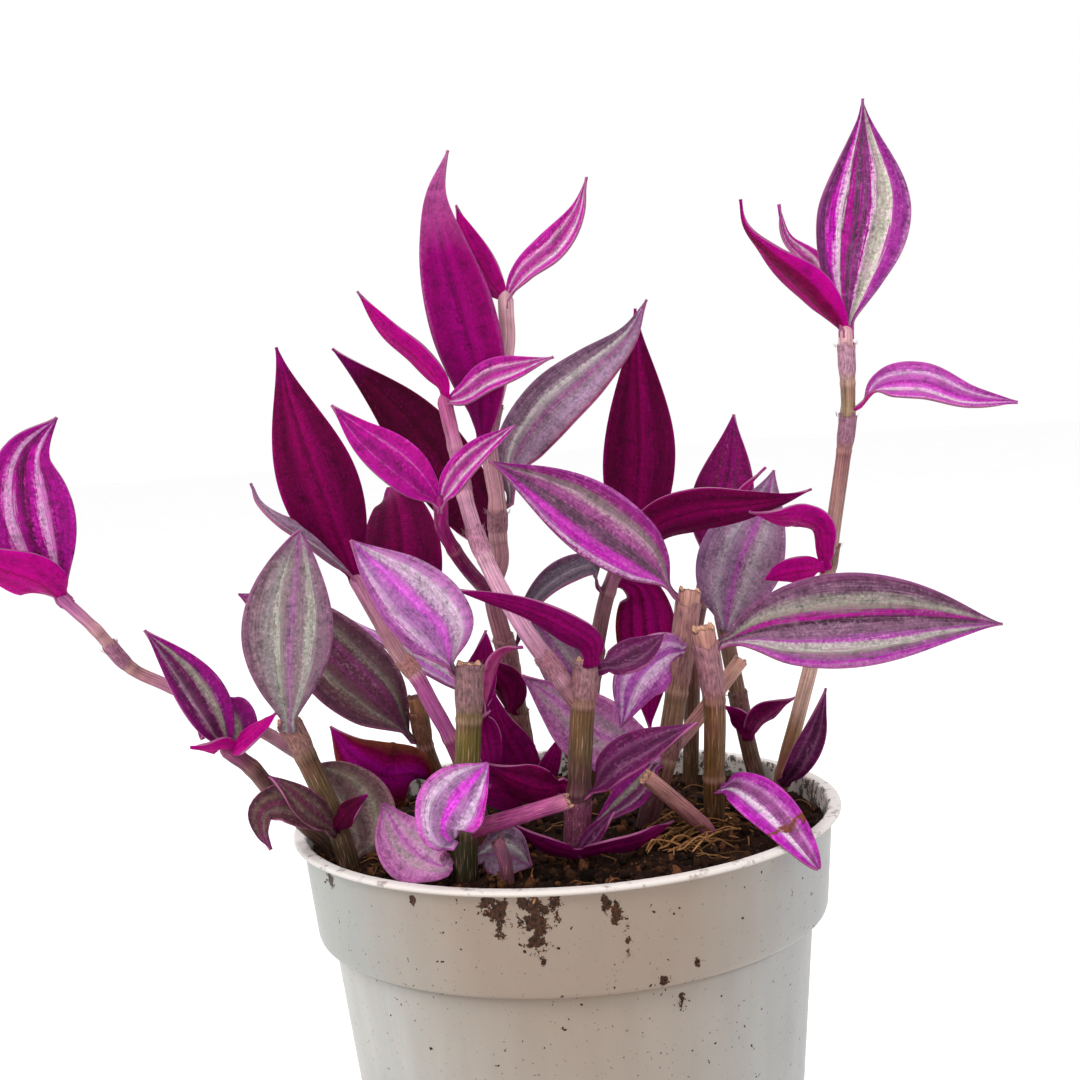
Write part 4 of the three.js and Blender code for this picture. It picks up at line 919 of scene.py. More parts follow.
        Blade([(45, 565, -2), (27, 500, -3), (28, 455, -3), (57, 417, -2)],
              19, 0, 0.35, "far", "magenta", tip=1, widest=0.45),
        Blade([(38, 582, -6), (2, 569, -9), (-30, 558, -9), (-57, 543, -8)],
              12, 140, 0.35, "young", "magenta", tip=1, widest=0.36),
    ]),
    "leaves_left_cluster": leaves("leaf_purple", "stem_left_low", (236, 756), [
        Blade([(205, 702, -3), (180, 668, -4), (144, 630, -4)],
              10.5, 15, 0.25, "cluster", "magenta", tip=0),
        Blade([(248, 736, -5), (262, 725, -8), (276, 714, -10)], 6.5, 125, 0.4, "young", "magenta", tip=0),
        Blade([(222, 747, -4), (206, 748, -6), (190, 748, -7)], 5, 125, 0.4, "young", "magenta", tip=0),
        Blade([(230, 730, 2), (216, 712, 4), (202, 692, 5)], 13, 10, 0.3, "cluster", "wine", tip=0),
    ]),
    "leaves_left_low": leaves("leaf_purple", "stem_left_stub", (337, 826), [
        Blade([(310, 812, -3), (280, 803, -5), (262, 812, -6), (262, 832, -7), (271, 850, -7)],
              8.5, 20, 0.2, "umber", "brown", out=(0, -1, 0)),
        Blade([(348, 812, -3), (358, 803, -4), (367, 794, -5)],
              5, 150, 0.3, "umber", "brown", out=(0, -1, 0)),
        Blade([(304, 803, -5), (287, 788, -6), (269, 776, -6)],
              6.5, 15, 0.25, "umber", "brown", out=(0, -1, 0)),
    ]),
    "leaf_left_broad": leaves("leaf_silver", "stem_left_stub", (346, 856), [
        Blade([(366, 838, 5), (360, 808, 8), (338, 782, 9), (306, 766, 8)],
              14.5, 0, 0.2, "taupe", "brown", out=(0.8, 1, 0), taper=0.95),
    ]),
    "leaves_centre_foot": leaves("leaf_magenta", "stem_centre", (577, 850), [
        Blade([(554, 850, -2), (528, 838, -1), (497, 820, 1)],
              6, 118, 0.4, "dusky", "plum", out=(0, -1, 0)),
        Blade([(610, 848, -5), (645, 840, 0), (673, 821, 10)],
              6, -120, 0.35, "dusky", "plum", out=(0, -1, 0)),
        Blade([(600, 828, 0), (615, 812, 1)], 4, -30, 0.3, "dusky", "magenta", out=(0, -1, 0)),
    ]),
    "leaves_right_inner_low": leaves("leaf_pink", "stem_right_inner", (664, 764), [
        Blade([(640, 752, 2), (600, 735, 5), (560, 705, 6), (522, 675, 4)],
              15.5, 0, 0.15, "rosy", "plum", out=(-0.7, -1, 0)),
        Blade([(638, 788, -4), (614, 810, -7), (591, 827, -9)],
              7.5, 30, 0.25, "cluster", "plum", out=(-0.7, -1, 0)),
    ]),
    "leaf_folded_pink": leaves("leaf_pink", "stem_right_inner", (684, 648), [
        Blade([(664, 655, -4), (637, 679, -8), (621, 728, -9)],
              13, (-40, -5), 0.35, "folded", "plum", out=(0, -1, 0)),
    ]),
    "leaves_back_right_pair": leaves("leaf_wine", "stem_back_right", (747, 735), [
        Blade([(762, 716, -4), (778, 706, -6), (796, 697, -7)],
              7, -130, 0.3, "dusky", "plum", out=(0, -1, 0)),
        Blade([(738, 716, -3), (725, 707, -4)], 5.5, 150, 0.3, "dusky", "plum", out=(0, -1, 0)),
    ]),
    "leaf_front_right": leaves("leaf_magenta", "stem_right_stub", (714, 784), [
        Blade([(738, 787, -9), (772, 811, -19), (799, 842, -26), (819, 870, -29)],
              9.5, -15, 0.2, "front_right", "magenta", out=(0.4, -1, 0), widest=0.5, taper=0.6),
    ]),
}


# Upper faces: colours across the blade from its left margin to its right one, with the tip up.
UPPER_LOOKS = {
    "broad_silver": [
        (0, "a05c94"), (0.025, "703c60"), (0.09, "603a54"), (0.18, "6a485f"), (0.24, "847e76"),
        (0.31, "9c988c"), (0.36, "867872"), (0.385, "80406f"), (0.42, "a81888"), (0.455, "801c6c"),
        (0.48, "40182f"), (0.515, "503046"), (0.55, "7c5870"), (0.64, "805c74"), (0.69, "984c94"),
        (0.72, "b45cac"), (0.755, "b2aaa6"), (0.81, "bcb8b0"), (0.85, "7c6868"), (0.89, "8c4c88"),
        (0.94, "ac34a4"), (0.98, "b464a8")],
    "crown": [
        (0, "9c5090"), (0.03, "64285c"), (0.11, "743068"), (0.14, "c02cac"), (0.2, "d44cc4"),
        (0.24, "f0d4ea"), (0.275, "e4d4dc"), (0.3, "643450"), (0.33, "b42890"), (0.37, "ac2890"),
        (0.395, "603a54"), (0.45, "603a58"), (0.475, "bc34a0"), (0.495, "703860"), (0.55, "78386c"),
        (0.58, "bc34a4"), (0.61, "ecd4e4"), (0.63, "8c7480"), (0.66, "b4b4a0"), (0.74, "bcbeaa"),
        (0.785, "ece8da"), (0.815, "bc58ac"), (0.86, "a03894"), (0.97, "844080"), (1, "bc7cb0")],
    "arching": [
        (0, "bc6cb0"), (0.04, "a03c90"), (0.2, "b45cac"), (0.28, "d8b8d4"), (0.34, "b468a8"),
        (0.45, "a848a0"), (0.5, "8c2880"), (0.6, "c444b8"), (0.7, "d080c4"), (0.76, "e8d0e0"),
        (0.82, "b060a4"), (0.95, "b838a8"), (1, "dc9cd0")],
    "young": [
        (0, "c444a4"), (0.06, "b81490"), (0.26, "b01088"), (0.3, "c064a4"), (0.34, "a81484"),
        (0.48, "900c70"), (0.53, "b01488"), (0.66, "b4188c"), (0.7, "cc74b0"), (0.74, "b0148c"),
        (0.92, "b80c88"), (1, "c84ca8")],
    "pale_young": [
        (0, "c858ac"), (0.06, "b03090"), (0.2, "ac3c8c"), (0.28, "e0b4cc"), (0.34, "a45890"),
        (0.46, "943474"), (0.52, "c040a0"), (0.6, "ac6c94"), (0.68, "c49cb4"), (0.74, "f0d6e4"),
        (0.8, "bc50a4"), (0.93, "bc2498"), (1, "dc80c0")],
    "dusky": [
        (0, "8c3c78"), (0.04, "5a1a46"), (0.22, "682456"), (0.3, "784868"), (0.38, "581e48"),
        (0.5, "48143a"), (0.62, "602650"), (0.7, "80506c"), (0.78, "601e50"), (0.95, "581442"),
        (1, "903c78")],
    "grey": [
        (0, "a478a4"), (0.05, "846084"), (0.2, "9c7c98"), (0.3, "b8acb8"), (0.36, "987c98"),
        (0.47, "946490"), (0.52, "b85cb4"), (0.57, "987090"), (0.66, "b4a8b0"), (0.74, "9c8498"),
        (0.93, "8c6084"), (1, "a878a0")],
    "grey_dark": [
        (0, "88546c"), (0.04, "4a2438"), (0.15, "5c3442"), (0.24, "6c5452"), (0.29, "868074"),
        (0.34, "64464c"), (0.42, "64344a"), (0.47, "803468"), (0.5, "5c2c48"), (0.58, "602e46"),
        (0.64, "803c68"), (0.69, "5c3a48"), (0.75, "80786c"), (0.8, "644c50"), (0.92, "562c40"),
        (1, "906078")],
    "face": [
        (0, "986488"), (0.03, "785468"), (0.15, "846c74"), (0.25, "90868a"), (0.345, "94908a"),
        (0.38, "bcc0b2"), (0.405, "948c86"), (0.47, "8c7480"), (0.52, "94708c"), (0.55, "b070a8"),
        (0.58, "8c6c80"), (0.68, "8c7c80"), (0.725, "b4b6aa"), (0.755, "a09890"), (0.79, "b8bab0"),
        (0.83, "8c7480"), (0.95, "805c74"), (1, "a06c90")],
    "slate": [
        (0, "806480"), (0.06, "584654"), (0.25, "504050"), (0.4, "6c5868"), (0.5, "887c84"),
        (0.58, "5c4c5c"), (0.8, "504050"), (0.94, "643858"), (1, "803870")],
    "violet": [
        (0, "983474"), (0.05, "80105c"), (0.25, "8c1468"), (0.34, "7c3458"), (0.42, "a01c80"),
        (0.5, "600c40"), (0.58, "a02480"), (0.66, "803c64"), (0.76, "941470"), (0.95, "80105c"),
        (1, "a84488")],
    "striped": [
        (0, "84206c"), (0.025, "b87cac"), (0.06, "d8b4d0"), (0.1, "a84ca0"), (0.15, "bc38ac"),
        (0.22, "cc54bc"), (0.29, "a03c94"), (0.33, "603c54"), (0.43, "543c4c"), (0.48, "684458"),
        (0.53, "944880"), (0.62, "a05c8c"), (0.69, "b498a0"), (0.73, "78686c"), (0.8, "746460"),
        (0.85, "8c3074"), (0.96, "842474"), (1, "b05ca4")],
    "lilac": [
        (0, "a8609c"), (0.03, "985090"), (0.12, "b06ca8"), (0.18, "dcc0d8"), (0.22, "c8a0c4"),
        (0.28, "a874a8"), (0.42, "ac6cac"), (0.47, "cc5cc8"), (0.52, "e47ce0"), (0.57, "c868c4"),
        (0.62, "b080ac"), (0.69, "d4c0d0"), (0.74, "bc9cb4"), (0.8, "e4d6e0"), (0.87, "c88cc0"),
        (0.95, "a860a0"), (1, "bc8cb4")],
    "front": [
        (0, "c85cb0"), (0.04, "d070c4"), (0.12, "c08cb8"), (0.2, "e4cce2"), (0.27, "a480a4"),
        (0.4, "966c94"), (0.45, "d44ccc"), (0.54, "e860e4"), (0.6, "a468a0"), (0.7, "9c749c"),
        (0.76, "dcbcdc"), (0.82, "e8d0e8"), (0.88, "c460bc"), (0.96, "d434b8"), (1, "dc70c8")],
    "front_right": [
        (0, "c860b8"), (0.04, "b434a8"), (0.2, "b048a8"), (0.3, "cc94c4"), (0.36, "945488"),
        (0.46, "844c78"), (0.55, "94588c"), (0.62, "f4e0f0"), (0.7, "e0c8dc"), (0.76, "b84cb4"),
        (0.92, "bc2cb4"), (1, "d864cc")],
    "far": [
        (0, "b83ca4"), (0.04, "a01088"), (0.2, "a41888"), (0.27, "e0b0d8"), (0.33, "d8a8d0"),
        (0.37, "9c1480"), (0.44, "4c1038"), (0.49, "5c1844"), (0.53, "a01c84"), (0.6, "b02c98"),
        (0.65, "e0b4d8"), (0.72, "c474b4"), (0.76, "681c50"), (0.8, "98147c"), (0.95, "980c7c"),
        (1, "b444a0")],
    "cluster": [
        (0, "943880"), (0.05, "741060"), (0.2, "641850"), (0.28, "a48898"), (0.33, "6c405c"),
        (0.45, "501640"), (0.52, "641c50"), (0.6, "8c827c"), (0.68, "a09c8c"), (0.74, "743468"),
        (0.82, "941880"), (0.94, "900c74"), (1, "a03c90")],
    "rosy": [
        (0, "c07cac"), (0.05, "a85c98"), (0.25, "bc80ac"), (0.36, "ac989c"), (0.46, "c48cb4"),
        (0.52, "b060a8"), (0.6, "c898b8"), (0.7, "988890"), (0.76, "bc7cac"), (0.95, "a85c94"),
        (1, "c488b0")],
    "misty": [
        (0, "946888"), (0.05, "70506a"), (0.25, "886c80"), (0.34, "dcdcd4"), (0.38, "b4a4ac"),
        (0.48, "90708a"), (0.53, "a85c98"), (0.58, "94788c"), (0.75, "ac90ac"), (0.93, "98748c"),
        (1, "8c2054")],
    "taupe": [
        (0, "90706f"), (0.04, "685050"), (0.2, "80686a"), (0.3, "a09488"), (0.38, "7c6464"),
        (0.5, "6c5052"), (0.6, "806868"), (0.7, "98907f"), (0.8, "785c5c"), (0.94, "684850"),
        (1, "987078")],
    "umber": [
        (0, "8c5868"), (0.04, "502c34"), (0.2, "5c3840"), (0.3, "746058"), (0.4, "5c3c40"), (0.5, "6c2c4c"),
        (0.6, "58343c"), (0.7, "6c544c"), (0.85, "503038"), (0.96, "482430"), (1, "844c60")],
    "folded": [
        (0, "b04c9c"), (0.05, "a44c9c"), (0.2, "a05098"), (0.32, "dcb4d8"), (0.4, "f0d4ec"),
        (0.48, "b464b4"), (0.6, "a048a4"), (0.72, "e0c0dc"), (0.82, "b870b8"), (0.95, "a45ca0"),
        (1, "d094c8")],
}
UPPER_FLECKS = {
    "broad_silver": "745868", "crown": "844c7c", "arching": "984890", "young": "8c0474",
    "pale_young": "a0408c", "dusky": "4c1c3c", "grey": "7c6070", "grey_dark": "48303a", "face": "745c64",
    "slate": "4c3c4c", "violet": "701050", "striped": "804c74", "lilac": "985c94", "front": "9c6c98",
    "front_right": "a05898", "far": "940c7c", "cluster": "683058", "rosy": "a06c94", "misty": "8c7084",
    "folded": "b070a8", "taupe": "68504f", "umber": "402830",
}

# Undersides: colours across the blade.
UNDER_LOOKS = {
    "deep_plum": [
        (0, "9c5048"), (0.04, "84304c"), (0.08, "700c4a"), (0.18, "980a66"), (0.26, "660640"),
        (0.36, "b00678"), (0.45, "820854"), (0.5, "600438"), (0.58, "a80874"), (0.7, "700a50"),
        (0.8, "a00a68"), (0.95, "5c0c3c"), (1, "8c3c60")],
    "scorched": [
        (0, "8c5c44"), (0.1, "74403a"), (0.2, "7c2444"), (0.3, "980c64"), (0.42, "a80c90"), (0.5, "840860"),
        (0.58, "a80c88"), (0.7, "8c0c5c"), (0.82, "742040"), (0.92, "74403a"), (1, "8c5c44")],
    "wine": [
        (0, "882460"), (0.05, "620a3a"), (0.25, "5e083a"), (0.38, "7c0e50"), (0.46, "90145c"),
        (0.52, "5e083a"), (0.6, "821050"), (0.75, "580836"), (0.95, "680a3e"), (1, "902868")],
    "brown": [
        (0, "6c2440"), (0.05, "400820"), (0.3, "501030"), (0.45, "400820"), (0.52, "581434"),
        (0.7, "480c28"), (0.95, "400820"), (1, "6c2440")],
    "magenta": [
        (0, "c83ca0"), (0.05, "b0047c"), (0.3, "a00470"), (0.42, "b80480"), (0.5, "8c0454"),
        (0.6, "b80480"), (0.8, "a0046c"), (0.95, "b00478"), (1, "c83ca0")],
    "plum": [
        (0, "943074"), (0.05, "740850"), (0.2, "880c60"), (0.3, "680640"), (0.4, "900c64"), (0.5, "680640"),
        (0.62, "84085c"), (0.75, "6c0848"), (0.95, "740850"), (1, "943074")],
    "rose": [
        (0, "b4648c"), (0.05, "984070"), (0.3, "a04878"), (0.45, "883860"), (0.55, "a45880"),
        (0.75, "984870"), (0.95, "883860"), (1, "b4648c")],
    "painted_band_shade": [
        (0, "c84ca8"), (0.06, "b80888"), (0.26, "b00480"), (0.34, "780640"), (0.5, "680638"),
        (0.66, "780640"), (0.74, "b0087c"), (0.94, "840850"), (1, "b84094")],
    "tall": [
        (0, "a85890"), (0.05, "90306c"), (0.25, "801c5c"), (0.4, "942870"), (0.5, "68104c"),
        (0.6, "8c246c"), (0.75, "7c185c"), (0.93, "8c306c"), (1, "a85c90")],
}
UNDER_FLECKS = {
    "scorched": "5c2430", "wine": "440628", "brown": "30081c", "magenta": "940468", "plum": "5c0440",
    "rose": "884060", "painted_band_shade": "84044c", "deep_plum": "500434", "tall": "580a3c",
}
# Where a blade is creased and browned along its length
SCARS = {"front_right": 0.7}
# Undersides that turn pale towards the tip: where that starts, and the tip's colour
PALE_TIPS = {"tall": (0.62, linear("d488bc"))}


def deselect():
    if bpy.context.object and bpy.context.object.mode != "OBJECT":
        bpy.ops.object.mode_set(mode="OBJECT")
    bpy.ops.object.select_all(action="DESELECT")


def only(piece):
    """Select one piece alone."""
    deselect()
    piece.select_set(True)
    bpy.context.view_layer.objects.active = piece


def modified(piece, kind, **settings):
    """Put a modifier on a piece and apply it."""
    only(piece)
    bpy.ops.object.modifier_add(type=kind)
    modifier = piece.modifiers[-1]
    for setting, value in settings.items():
        setattr(modifier, setting, value)
    bpy.ops.object.modifier_apply(modifier=modifier.name)


def grid(name, columns, rows, points):
    """A grid of quads whose corners, counted along rows, take the given points in millimetres."""
    deselect()
    bpy.ops.mesh.primitive_grid_add(x_subdivisions=columns, y_subdivisions=rows, size=2, location=(0, 0, 0))
    piece = bpy.context.active_object
    piece.name = name
    piece.data.name = name
    for vertex in piece.data.vertices:
        column = round((vertex.co.x + 1) / 2 * columns)
        row = round((vertex.co.y + 1) / 2 * rows)
        vertex.co = points[row][column] * MM
    return piece


def ring_axes(axis):
    """Two directions square to an axis, which with it make a right-handed set."""
    first = Vector(RING_START)
    first -= axis * first.dot(axis)
    first.normalize()
    return first, axis.cross(first)


def tone_layer(piece):
    """A new layer of colours on a piece, one for each corner point."""
    return piece.data.color_attributes.new("Tone", "FLOAT_COLOR", "POINT").data


def tube(name, rings, sides, tones=None):
    """A tube through rings of (centre, axis, radius at an angle, rise at an angle)."""
    points = []
    for centre, axis, radius, rise in rings:
        first, second = ring_axes(axis)
        row = []
        for side in range(sides + 1):
            angle = FULL_TURN * (side % sides) / sides
            spoke = first * math.cos(angle) + second * math.sin(angle)
            row.append(centre + spoke * radius(angle) + axis * rise(angle))
        points.append(row)
    piece = grid(name, sides, len(rings) - 1, points)
    if tones:
        for index, corner in enumerate(tone_layer(piece)):
            corner.color = opaque(tones[index // (sides + 1)])
    only(piece)
    bpy.ops.object.mode_set(mode="EDIT")
    bpy.ops.mesh.select_all(action="SELECT")
    bpy.ops.mesh.remove_doubles(threshold=1e-6)
    bpy.ops.object.mode_set(mode="OBJECT")
    return piece


def plain(value):
    """A measure that is the same at every angle."""
    return lambda angle: value


def raise_rim(piece, steps):
    """Extrude a piece's open rim by steps of (rise, spread, share of height kept, about which height)."""
    only(piece)
    bpy.ops.object.mode_set(mode="EDIT")
    bpy.ops.mesh.select_mode(type="EDGE")
    bpy.ops.mesh.select_all(action="DESELECT")
    bpy.ops.mesh.select_non_manifold()
    for rise, spread, kept, height in steps:
        bpy.ops.mesh.extrude_region_move(TRANSFORM_OT_translate={"value": (0, 0, rise * MM)})
        bpy.ops.transform.resize(value=(spread, spread, kept), center_override=(0, 0, height * MM))
    bpy.ops.mesh.edge_face_add()
    bpy.ops.mesh.select_all(action="SELECT")
    bpy.ops.mesh.normals_make_consistent(inside=False)
    bpy.ops.object.mode_set(mode="OBJECT")


def strew(piece, entries, lay):
    """Copy a piece once for each entry; lay gives a copy's tone and a function that places a corner."""
    shape = [vertex.co.copy() for vertex in piece.data.vertices]
    modified(piece, "ARRAY", count=len(entries), use_relative_offset=False, use_constant_offset=False)
    tones = tone_layer(piece)
    for index, entry in enumerate(entries):
        tone, placed = lay(index, *entry)
        for corner, start in enumerate(shape, index * len(shape)):
            piece.data.vertices[corner].co = placed(start) * MM
            tones[corner].color = opaque(tone)


def joined(name, pieces):
    """The pieces as one, with a name."""
    deselect()
    for piece in pieces:
        piece.select_set(True)
    bpy.context.view_layer.objects.active = pieces[0]
    if len(pieces) > 1:
        bpy.ops.object.join()
    piece = bpy.context.active_object
    piece.name = name
    piece.data.name = name
    return piece


def finished(piece, slot, *nodes):
    """Shade a piece smooth, attach it to its body and hide the imported parts of the nodes it stands for. The
    slot is not used.
    """
    only(piece)
    bpy.ops.object.shade_smooth()
    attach(piece, BODY)
    if nodes:
        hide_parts(*nodes)
    return piece


class Shades:
    """A material's nodes, written one call for each node."""

    def __init__(self, name):
        self.material = bpy.data.materials.new(name)
        self.material.use_nodes = True
        self.tree = self.material.node_tree
        self.shader = self.tree.nodes["Principled BSDF"]

    def node(self, kind, inputs=None, output=0, **settings):
        node = self.tree.nodes.new(kind)
        for setting, value in settings.items():
            setattr(node, setting, value)
        for socket, value in (inputs or {}).items():
            self.feed(node.inputs[socket], value)
        return node.outputs[output]

    def feed(self, socket, value):
        if isinstance(value, bpy.types.NodeSocket):
            self.tree.links.new(value, socket)
        else:
            socket.default_value = value

    def surface(self, **inputs):
        for socket, value in inputs.items():
            self.feed(self.shader.inputs[socket.replace("_", " ")], value)
        return self.material

    def math(self, operation, first, second=0.0, third=0.0):
        return self.node("ShaderNodeMath", {0: first, 1: second, 2: third}, operation=operation)

    def times(self, first, second):
        return self.math("MULTIPLY", first, second)

    def times_add(self, first, second, third):
        return self.math("MULTIPLY_ADD", first, second, third)

    def sway(self, amount, strength, middle):
        """A value moved to either side of its middle, as an amount leaves a half."""
        return self.times_add(self.math("SUBTRACT", amount, 0.5), strength, middle)

    def place(self):
        return self.node("ShaderNodeTexCoord", output="Object")

    def parts(self, vector, axes):
        return [self.node("ShaderNodeSeparateXYZ", {"Vector": vector}, output=axis) for axis in axes]

    def across_and_along(self):
        """The piece's own map: how far across or around it, and how far along it."""
        return self.parts(self.node("ShaderNodeUVMap", output="UV", uv_map="UVMap"), "XY")

    def drawn_out(self, across, many, along, few):
        """A place for noise that runs in lines along the piece."""
        return self.node("ShaderNodeCombineXYZ", {"X": self.times(across, many), "Y": self.times(along, few)})

    def tone(self):
        return self.node("ShaderNodeAttribute", output="Color", attribute_name="Tone")

    def vector(self, operation, first, second):
        return self.node("ShaderNodeVectorMath", {0: first, 1: second}, operation=operation)

    def length(self, vector):
        return self.node("ShaderNodeVectorMath", {0: vector}, output="Value", operation="LENGTH")

    def noise(self, vector, scale, detail=2.0, roughness=0.5):
        inputs = {"Vector": vector, "Scale": scale, "Detail": detail, "Roughness": roughness}
        return self.node("ShaderNodeTexNoise", inputs, noise_dimensions="3D")

    def even_noise(self, *settings):
        """Noise that is stretched to run from 0 to 1."""
        return self.range(self.noise(*settings), 0.3, 0.7)

    def ramp(self, factor, stops):
        node = self.tree.nodes.new("ShaderNodeValToRGB")
        elements = node.color_ramp.elements
        for index, (spot, code) in enumerate(stops):
            element = elements[index] if index < 2 else elements.new(spot)
            element.position = spot
            element.color = opaque(code)
        self.feed(node.inputs["Fac"], factor)
        return node.outputs["Color"]

    def range(self, value, low, high, to_low=0.0, to_high=1.0):
        inputs = {"Value": value, "From Min": low, "From Max": high, "To Min": to_low, "To Max": to_high}
        return self.node("ShaderNodeMapRange", inputs, clamp=True)

    def mix(self, factor, first, second, blend="MIX"):
        inputs = {0: factor, 6: first, 7: opaque(second) if isinstance(second, str) else second}
        return self.node("ShaderNodeMix", inputs, output=2, data_type="RGBA", blend_type=blend)

    def cover(self, colour, where, other, strength):
        """A colour, covered with another to a strength where a value is 1."""
        return self.mix(self.times(where, strength), colour, other)

    def brighten(self, colour, value, saturation=1.0):
        inputs = {"Color": colour, "Value": value, "Saturation": saturation}
        return self.node("ShaderNodeHueSaturation", inputs)

    def bump(self, height, distance, strength=1.0):
        inputs = {"Height": height, "Distance": distance * MM, "Strength": strength}
        self.surface(Normal=self.node("ShaderNodeBump", inputs))


# How the two sides of a blade take their flecks, grain, light and gloss, and the colour and strength of their
# painted highlight glints
UPPER_SIDE = {
    "fleck": 0.62, "grain": 0.6, "light": 0.94, "depth": 1.1, "rough": 0.4, "gloss": 0.16, "glint": 0.08,
    "glint_code": "dcc4d8",
}
UNDER_SIDE = {
    "fleck": 0.45, "grain": 0.4, "light": 1, "depth": 1.12, "rough": 0.45, "gloss": 0.05, "glint": 0.14,
    "glint_code": "b02c84",
}
TIP_START = 0.8
CREASE_BROWN = "7c4a3c"


def blade_material(name, stops, fleck, tip, look, scar=None):
    """Long stripes that waver, break up and streak along a blade, with fine cells, painted highlight glints
    and a tinted tip.
    """
    shades = Shades(name)
    across, along = shades.across_and_along()
    place = shades.place()
    streaks = shades.even_noise(shades.drawn_out(across, 52.0, along, 5.0), 1.0, 5.0, 0.72)
    bands = shades.even_noise(shades.drawn_out(across, 17.0, along, 3.4), 1.0, 3.0, 0.6)
    cells = shades.even_noise(place, 1500.0, 3.0, 0.65)
    patches = shades.even_noise(place, 420.0, 4.0, 0.65)
    shifted = across
    for amount, shift in ((streaks, 0.06), (bands, 0.075), (cells, 0.035)):
        shifted = shades.sway(amount, shift, shifted)
    colour = shades.ramp(shifted, stops)
    colour = shades.cover(colour, shades.range(streaks, 0.45, 0.8), fleck, look["fleck"])
    colour = shades.cover(colour, shades.range(patches, 0.55, 0.85), fleck, 0.38)
    # painted highlight: glints in the side's glint colour where the cells and bands rise highest
    sheen = shades.range(shades.math("ADD", cells, bands), 1.25, 1.6)
    colour = shades.cover(colour, sheen, look["glint_code"], look["glint"])
    tip_start, tip_colour = tip
    colour = shades.cover(colour, shades.range(along, tip_start, 1.0), opaque(tip_colour), 0.6)
    if scar:
        crease = shades.math("SUBTRACT", shades.times_add(patches, 0.08, along), scar + 0.04)
        crease = shades.range(shades.math("ABSOLUTE", crease), 0.022, 0.008)
        colour = shades.mix(crease, colour, CREASE_BROWN)
    light = look["light"]
    for amount, strength in ((cells, look["grain"]), (streaks, 0.8), (patches, 0.65)):
        light = shades.sway(amount, strength, light)
    colour = shades.brighten(colour, light, look["depth"])
    height = shades.times_add(streaks, 0.9, shades.times_add(patches, 0.9, cells))
    shades.bump(height, 0.2, 0.75)
    return shades.surface(
        Base_Color=colour, Roughness=shades.times_add(patches, 0.16, look["rough"]),
        Specular_IOR_Level=look["gloss"], Subsurface_Weight=0.12, Subsurface_Scale=0.0012,
        Subsurface_Radius=(1, 0.3, 0.6))


def edge_material(name, tint):
    shades = Shades(name)
    light = shades.range(shades.noise(shades.place(), 700.0, 3.0), 0.2, 0.8, 0.7, 1.2)
    return shades.surface(Base_Color=shades.brighten(opaque(tint), light), Roughness=0.45)


STEM_BLUSH = "7c4450"
STEM_DASHES = "d0c4a4"


def stem_material(name, rib_depth):
    """Colour from the piece's Tone, with ribs along the stem, small freckles and a soft gloss."""
    shades = Shades(name)
    around, along = shades.across_and_along()
    place = shades.place()
    lined = shades.drawn_out(around, 34.0, along, 5.0)
    fibres = shades.noise(lined, 1.0, 3.0, 0.6)
    freckles = shades.noise(place, 900.0, 3.0, 0.6)
    patches = shades.noise(place, 170.0, 2.0)
    light = -0.9
    for amount, strength in ((fibres, 2.9), (freckles, 0.5), (patches, 0.3)):
        light = shades.times_add(amount, strength, light)
    colour = shades.cover(shades.tone(), shades.range(patches, 0.5, 0.75), STEM_BLUSH, 0.35)
    dashes = shades.range(shades.noise(lined, 2.3, 2.0), 0.6, 0.7)
    colour = shades.cover(colour, dashes, STEM_DASHES, 0.6)
    colour = shades.mix(1.0, colour, opaque(STEM_TINT), "MULTIPLY")
    shades.bump(shades.times_add(fibres, 2.6, freckles), rib_depth, 0.9)
    return shades.surface(
        Base_Color=shades.brighten(colour, light, 1.08),
        Roughness=shades.range(freckles, 0.3, 0.7, 0.38, 0.6), Specular_IOR_Level=0.22,
        Subsurface_Weight=0.06, Subsurface_Scale=0.0012)


SOIL_SPECKS = "9c7c54"


def soil_material(name, dark, light):
    """Dark and light grains with pale specks, in lighter and darker patches."""
    shades = Shades(name)
    place = shades.place()
    grains = shades.noise(place, 420.0, 6.0, 0.7)
    colour = shades.mix(shades.range(grains, 0.35, 0.72), opaque(dark), opaque(light))
    specks = shades.range(shades.noise(place, 1500.0, 2.0, 0.6), 0.64, 0.74)
    colour = shades.cover(colour, specks, SOIL_SPECKS, 0.5)
    colour = shades.brighten(colour, shades.range(shades.noise(place, 60.0, 3.0), 0.3, 0.7, 0.6, 1.25))
    shades.bump(grains, 1.2, 0.9)
    return shades.surface(Base_Color=colour, Roughness=0.95, Specular_IOR_Level=0.05)


def crumb_material(name):
    """Colour from the piece's Tone, with fine grains."""
    shades = Shades(name)
    grains = shades.noise(shades.place(), 1400.0, 4.0, 0.65)
    colour = shades.brighten(shades.tone(), shades.range(grains, 0.25, 0.75, 0.5, 1.5))
    shades.bump(grains, 0.3, 0.8)
    return shades.surface(Base_Color=colour, Roughness=0.9, Specular_IOR_Level=0.06)


def near_place(shades, place, spot, reach, stretch):
    """How near the surface is to a spot in millimetres: 1 at it, 0 at reach and beyond."""
    offset = shades.vector("SUBTRACT", place, spot * MM)
    far = shades.length(shades.vector("MULTIPLY", offset, stretch))
    return shades.range(far, 0.0, reach * MM, 1.0, 0.0)


# Tones on the pot: painted light, shade, shadow and reflection, then its dust, mud, stain and smears
POT_INSIDE_PAINTED_LIGHT = "ccc4bc"
POT_RIGHT_PAINTED_SHADE = "848487"
POT_BAND_LEFT_PAINTED_SHADE = "888a86"
POT_SEAM_PAINTED_SHADOW = "4c3c34"
POT_FRONT_PAINTED_REFLECTION = "847060"
POT_LIP_PAINTED_HIGHLIGHT = "e4deda"
DUST_HAZE = "7c6450"
MUD_DRY = "442410"
MUD_WET = "140a04"
DUST_SPECKS = "1c120c"
LIP_STAIN = "64483a"
INNER_SMEAR = "2c1c12"


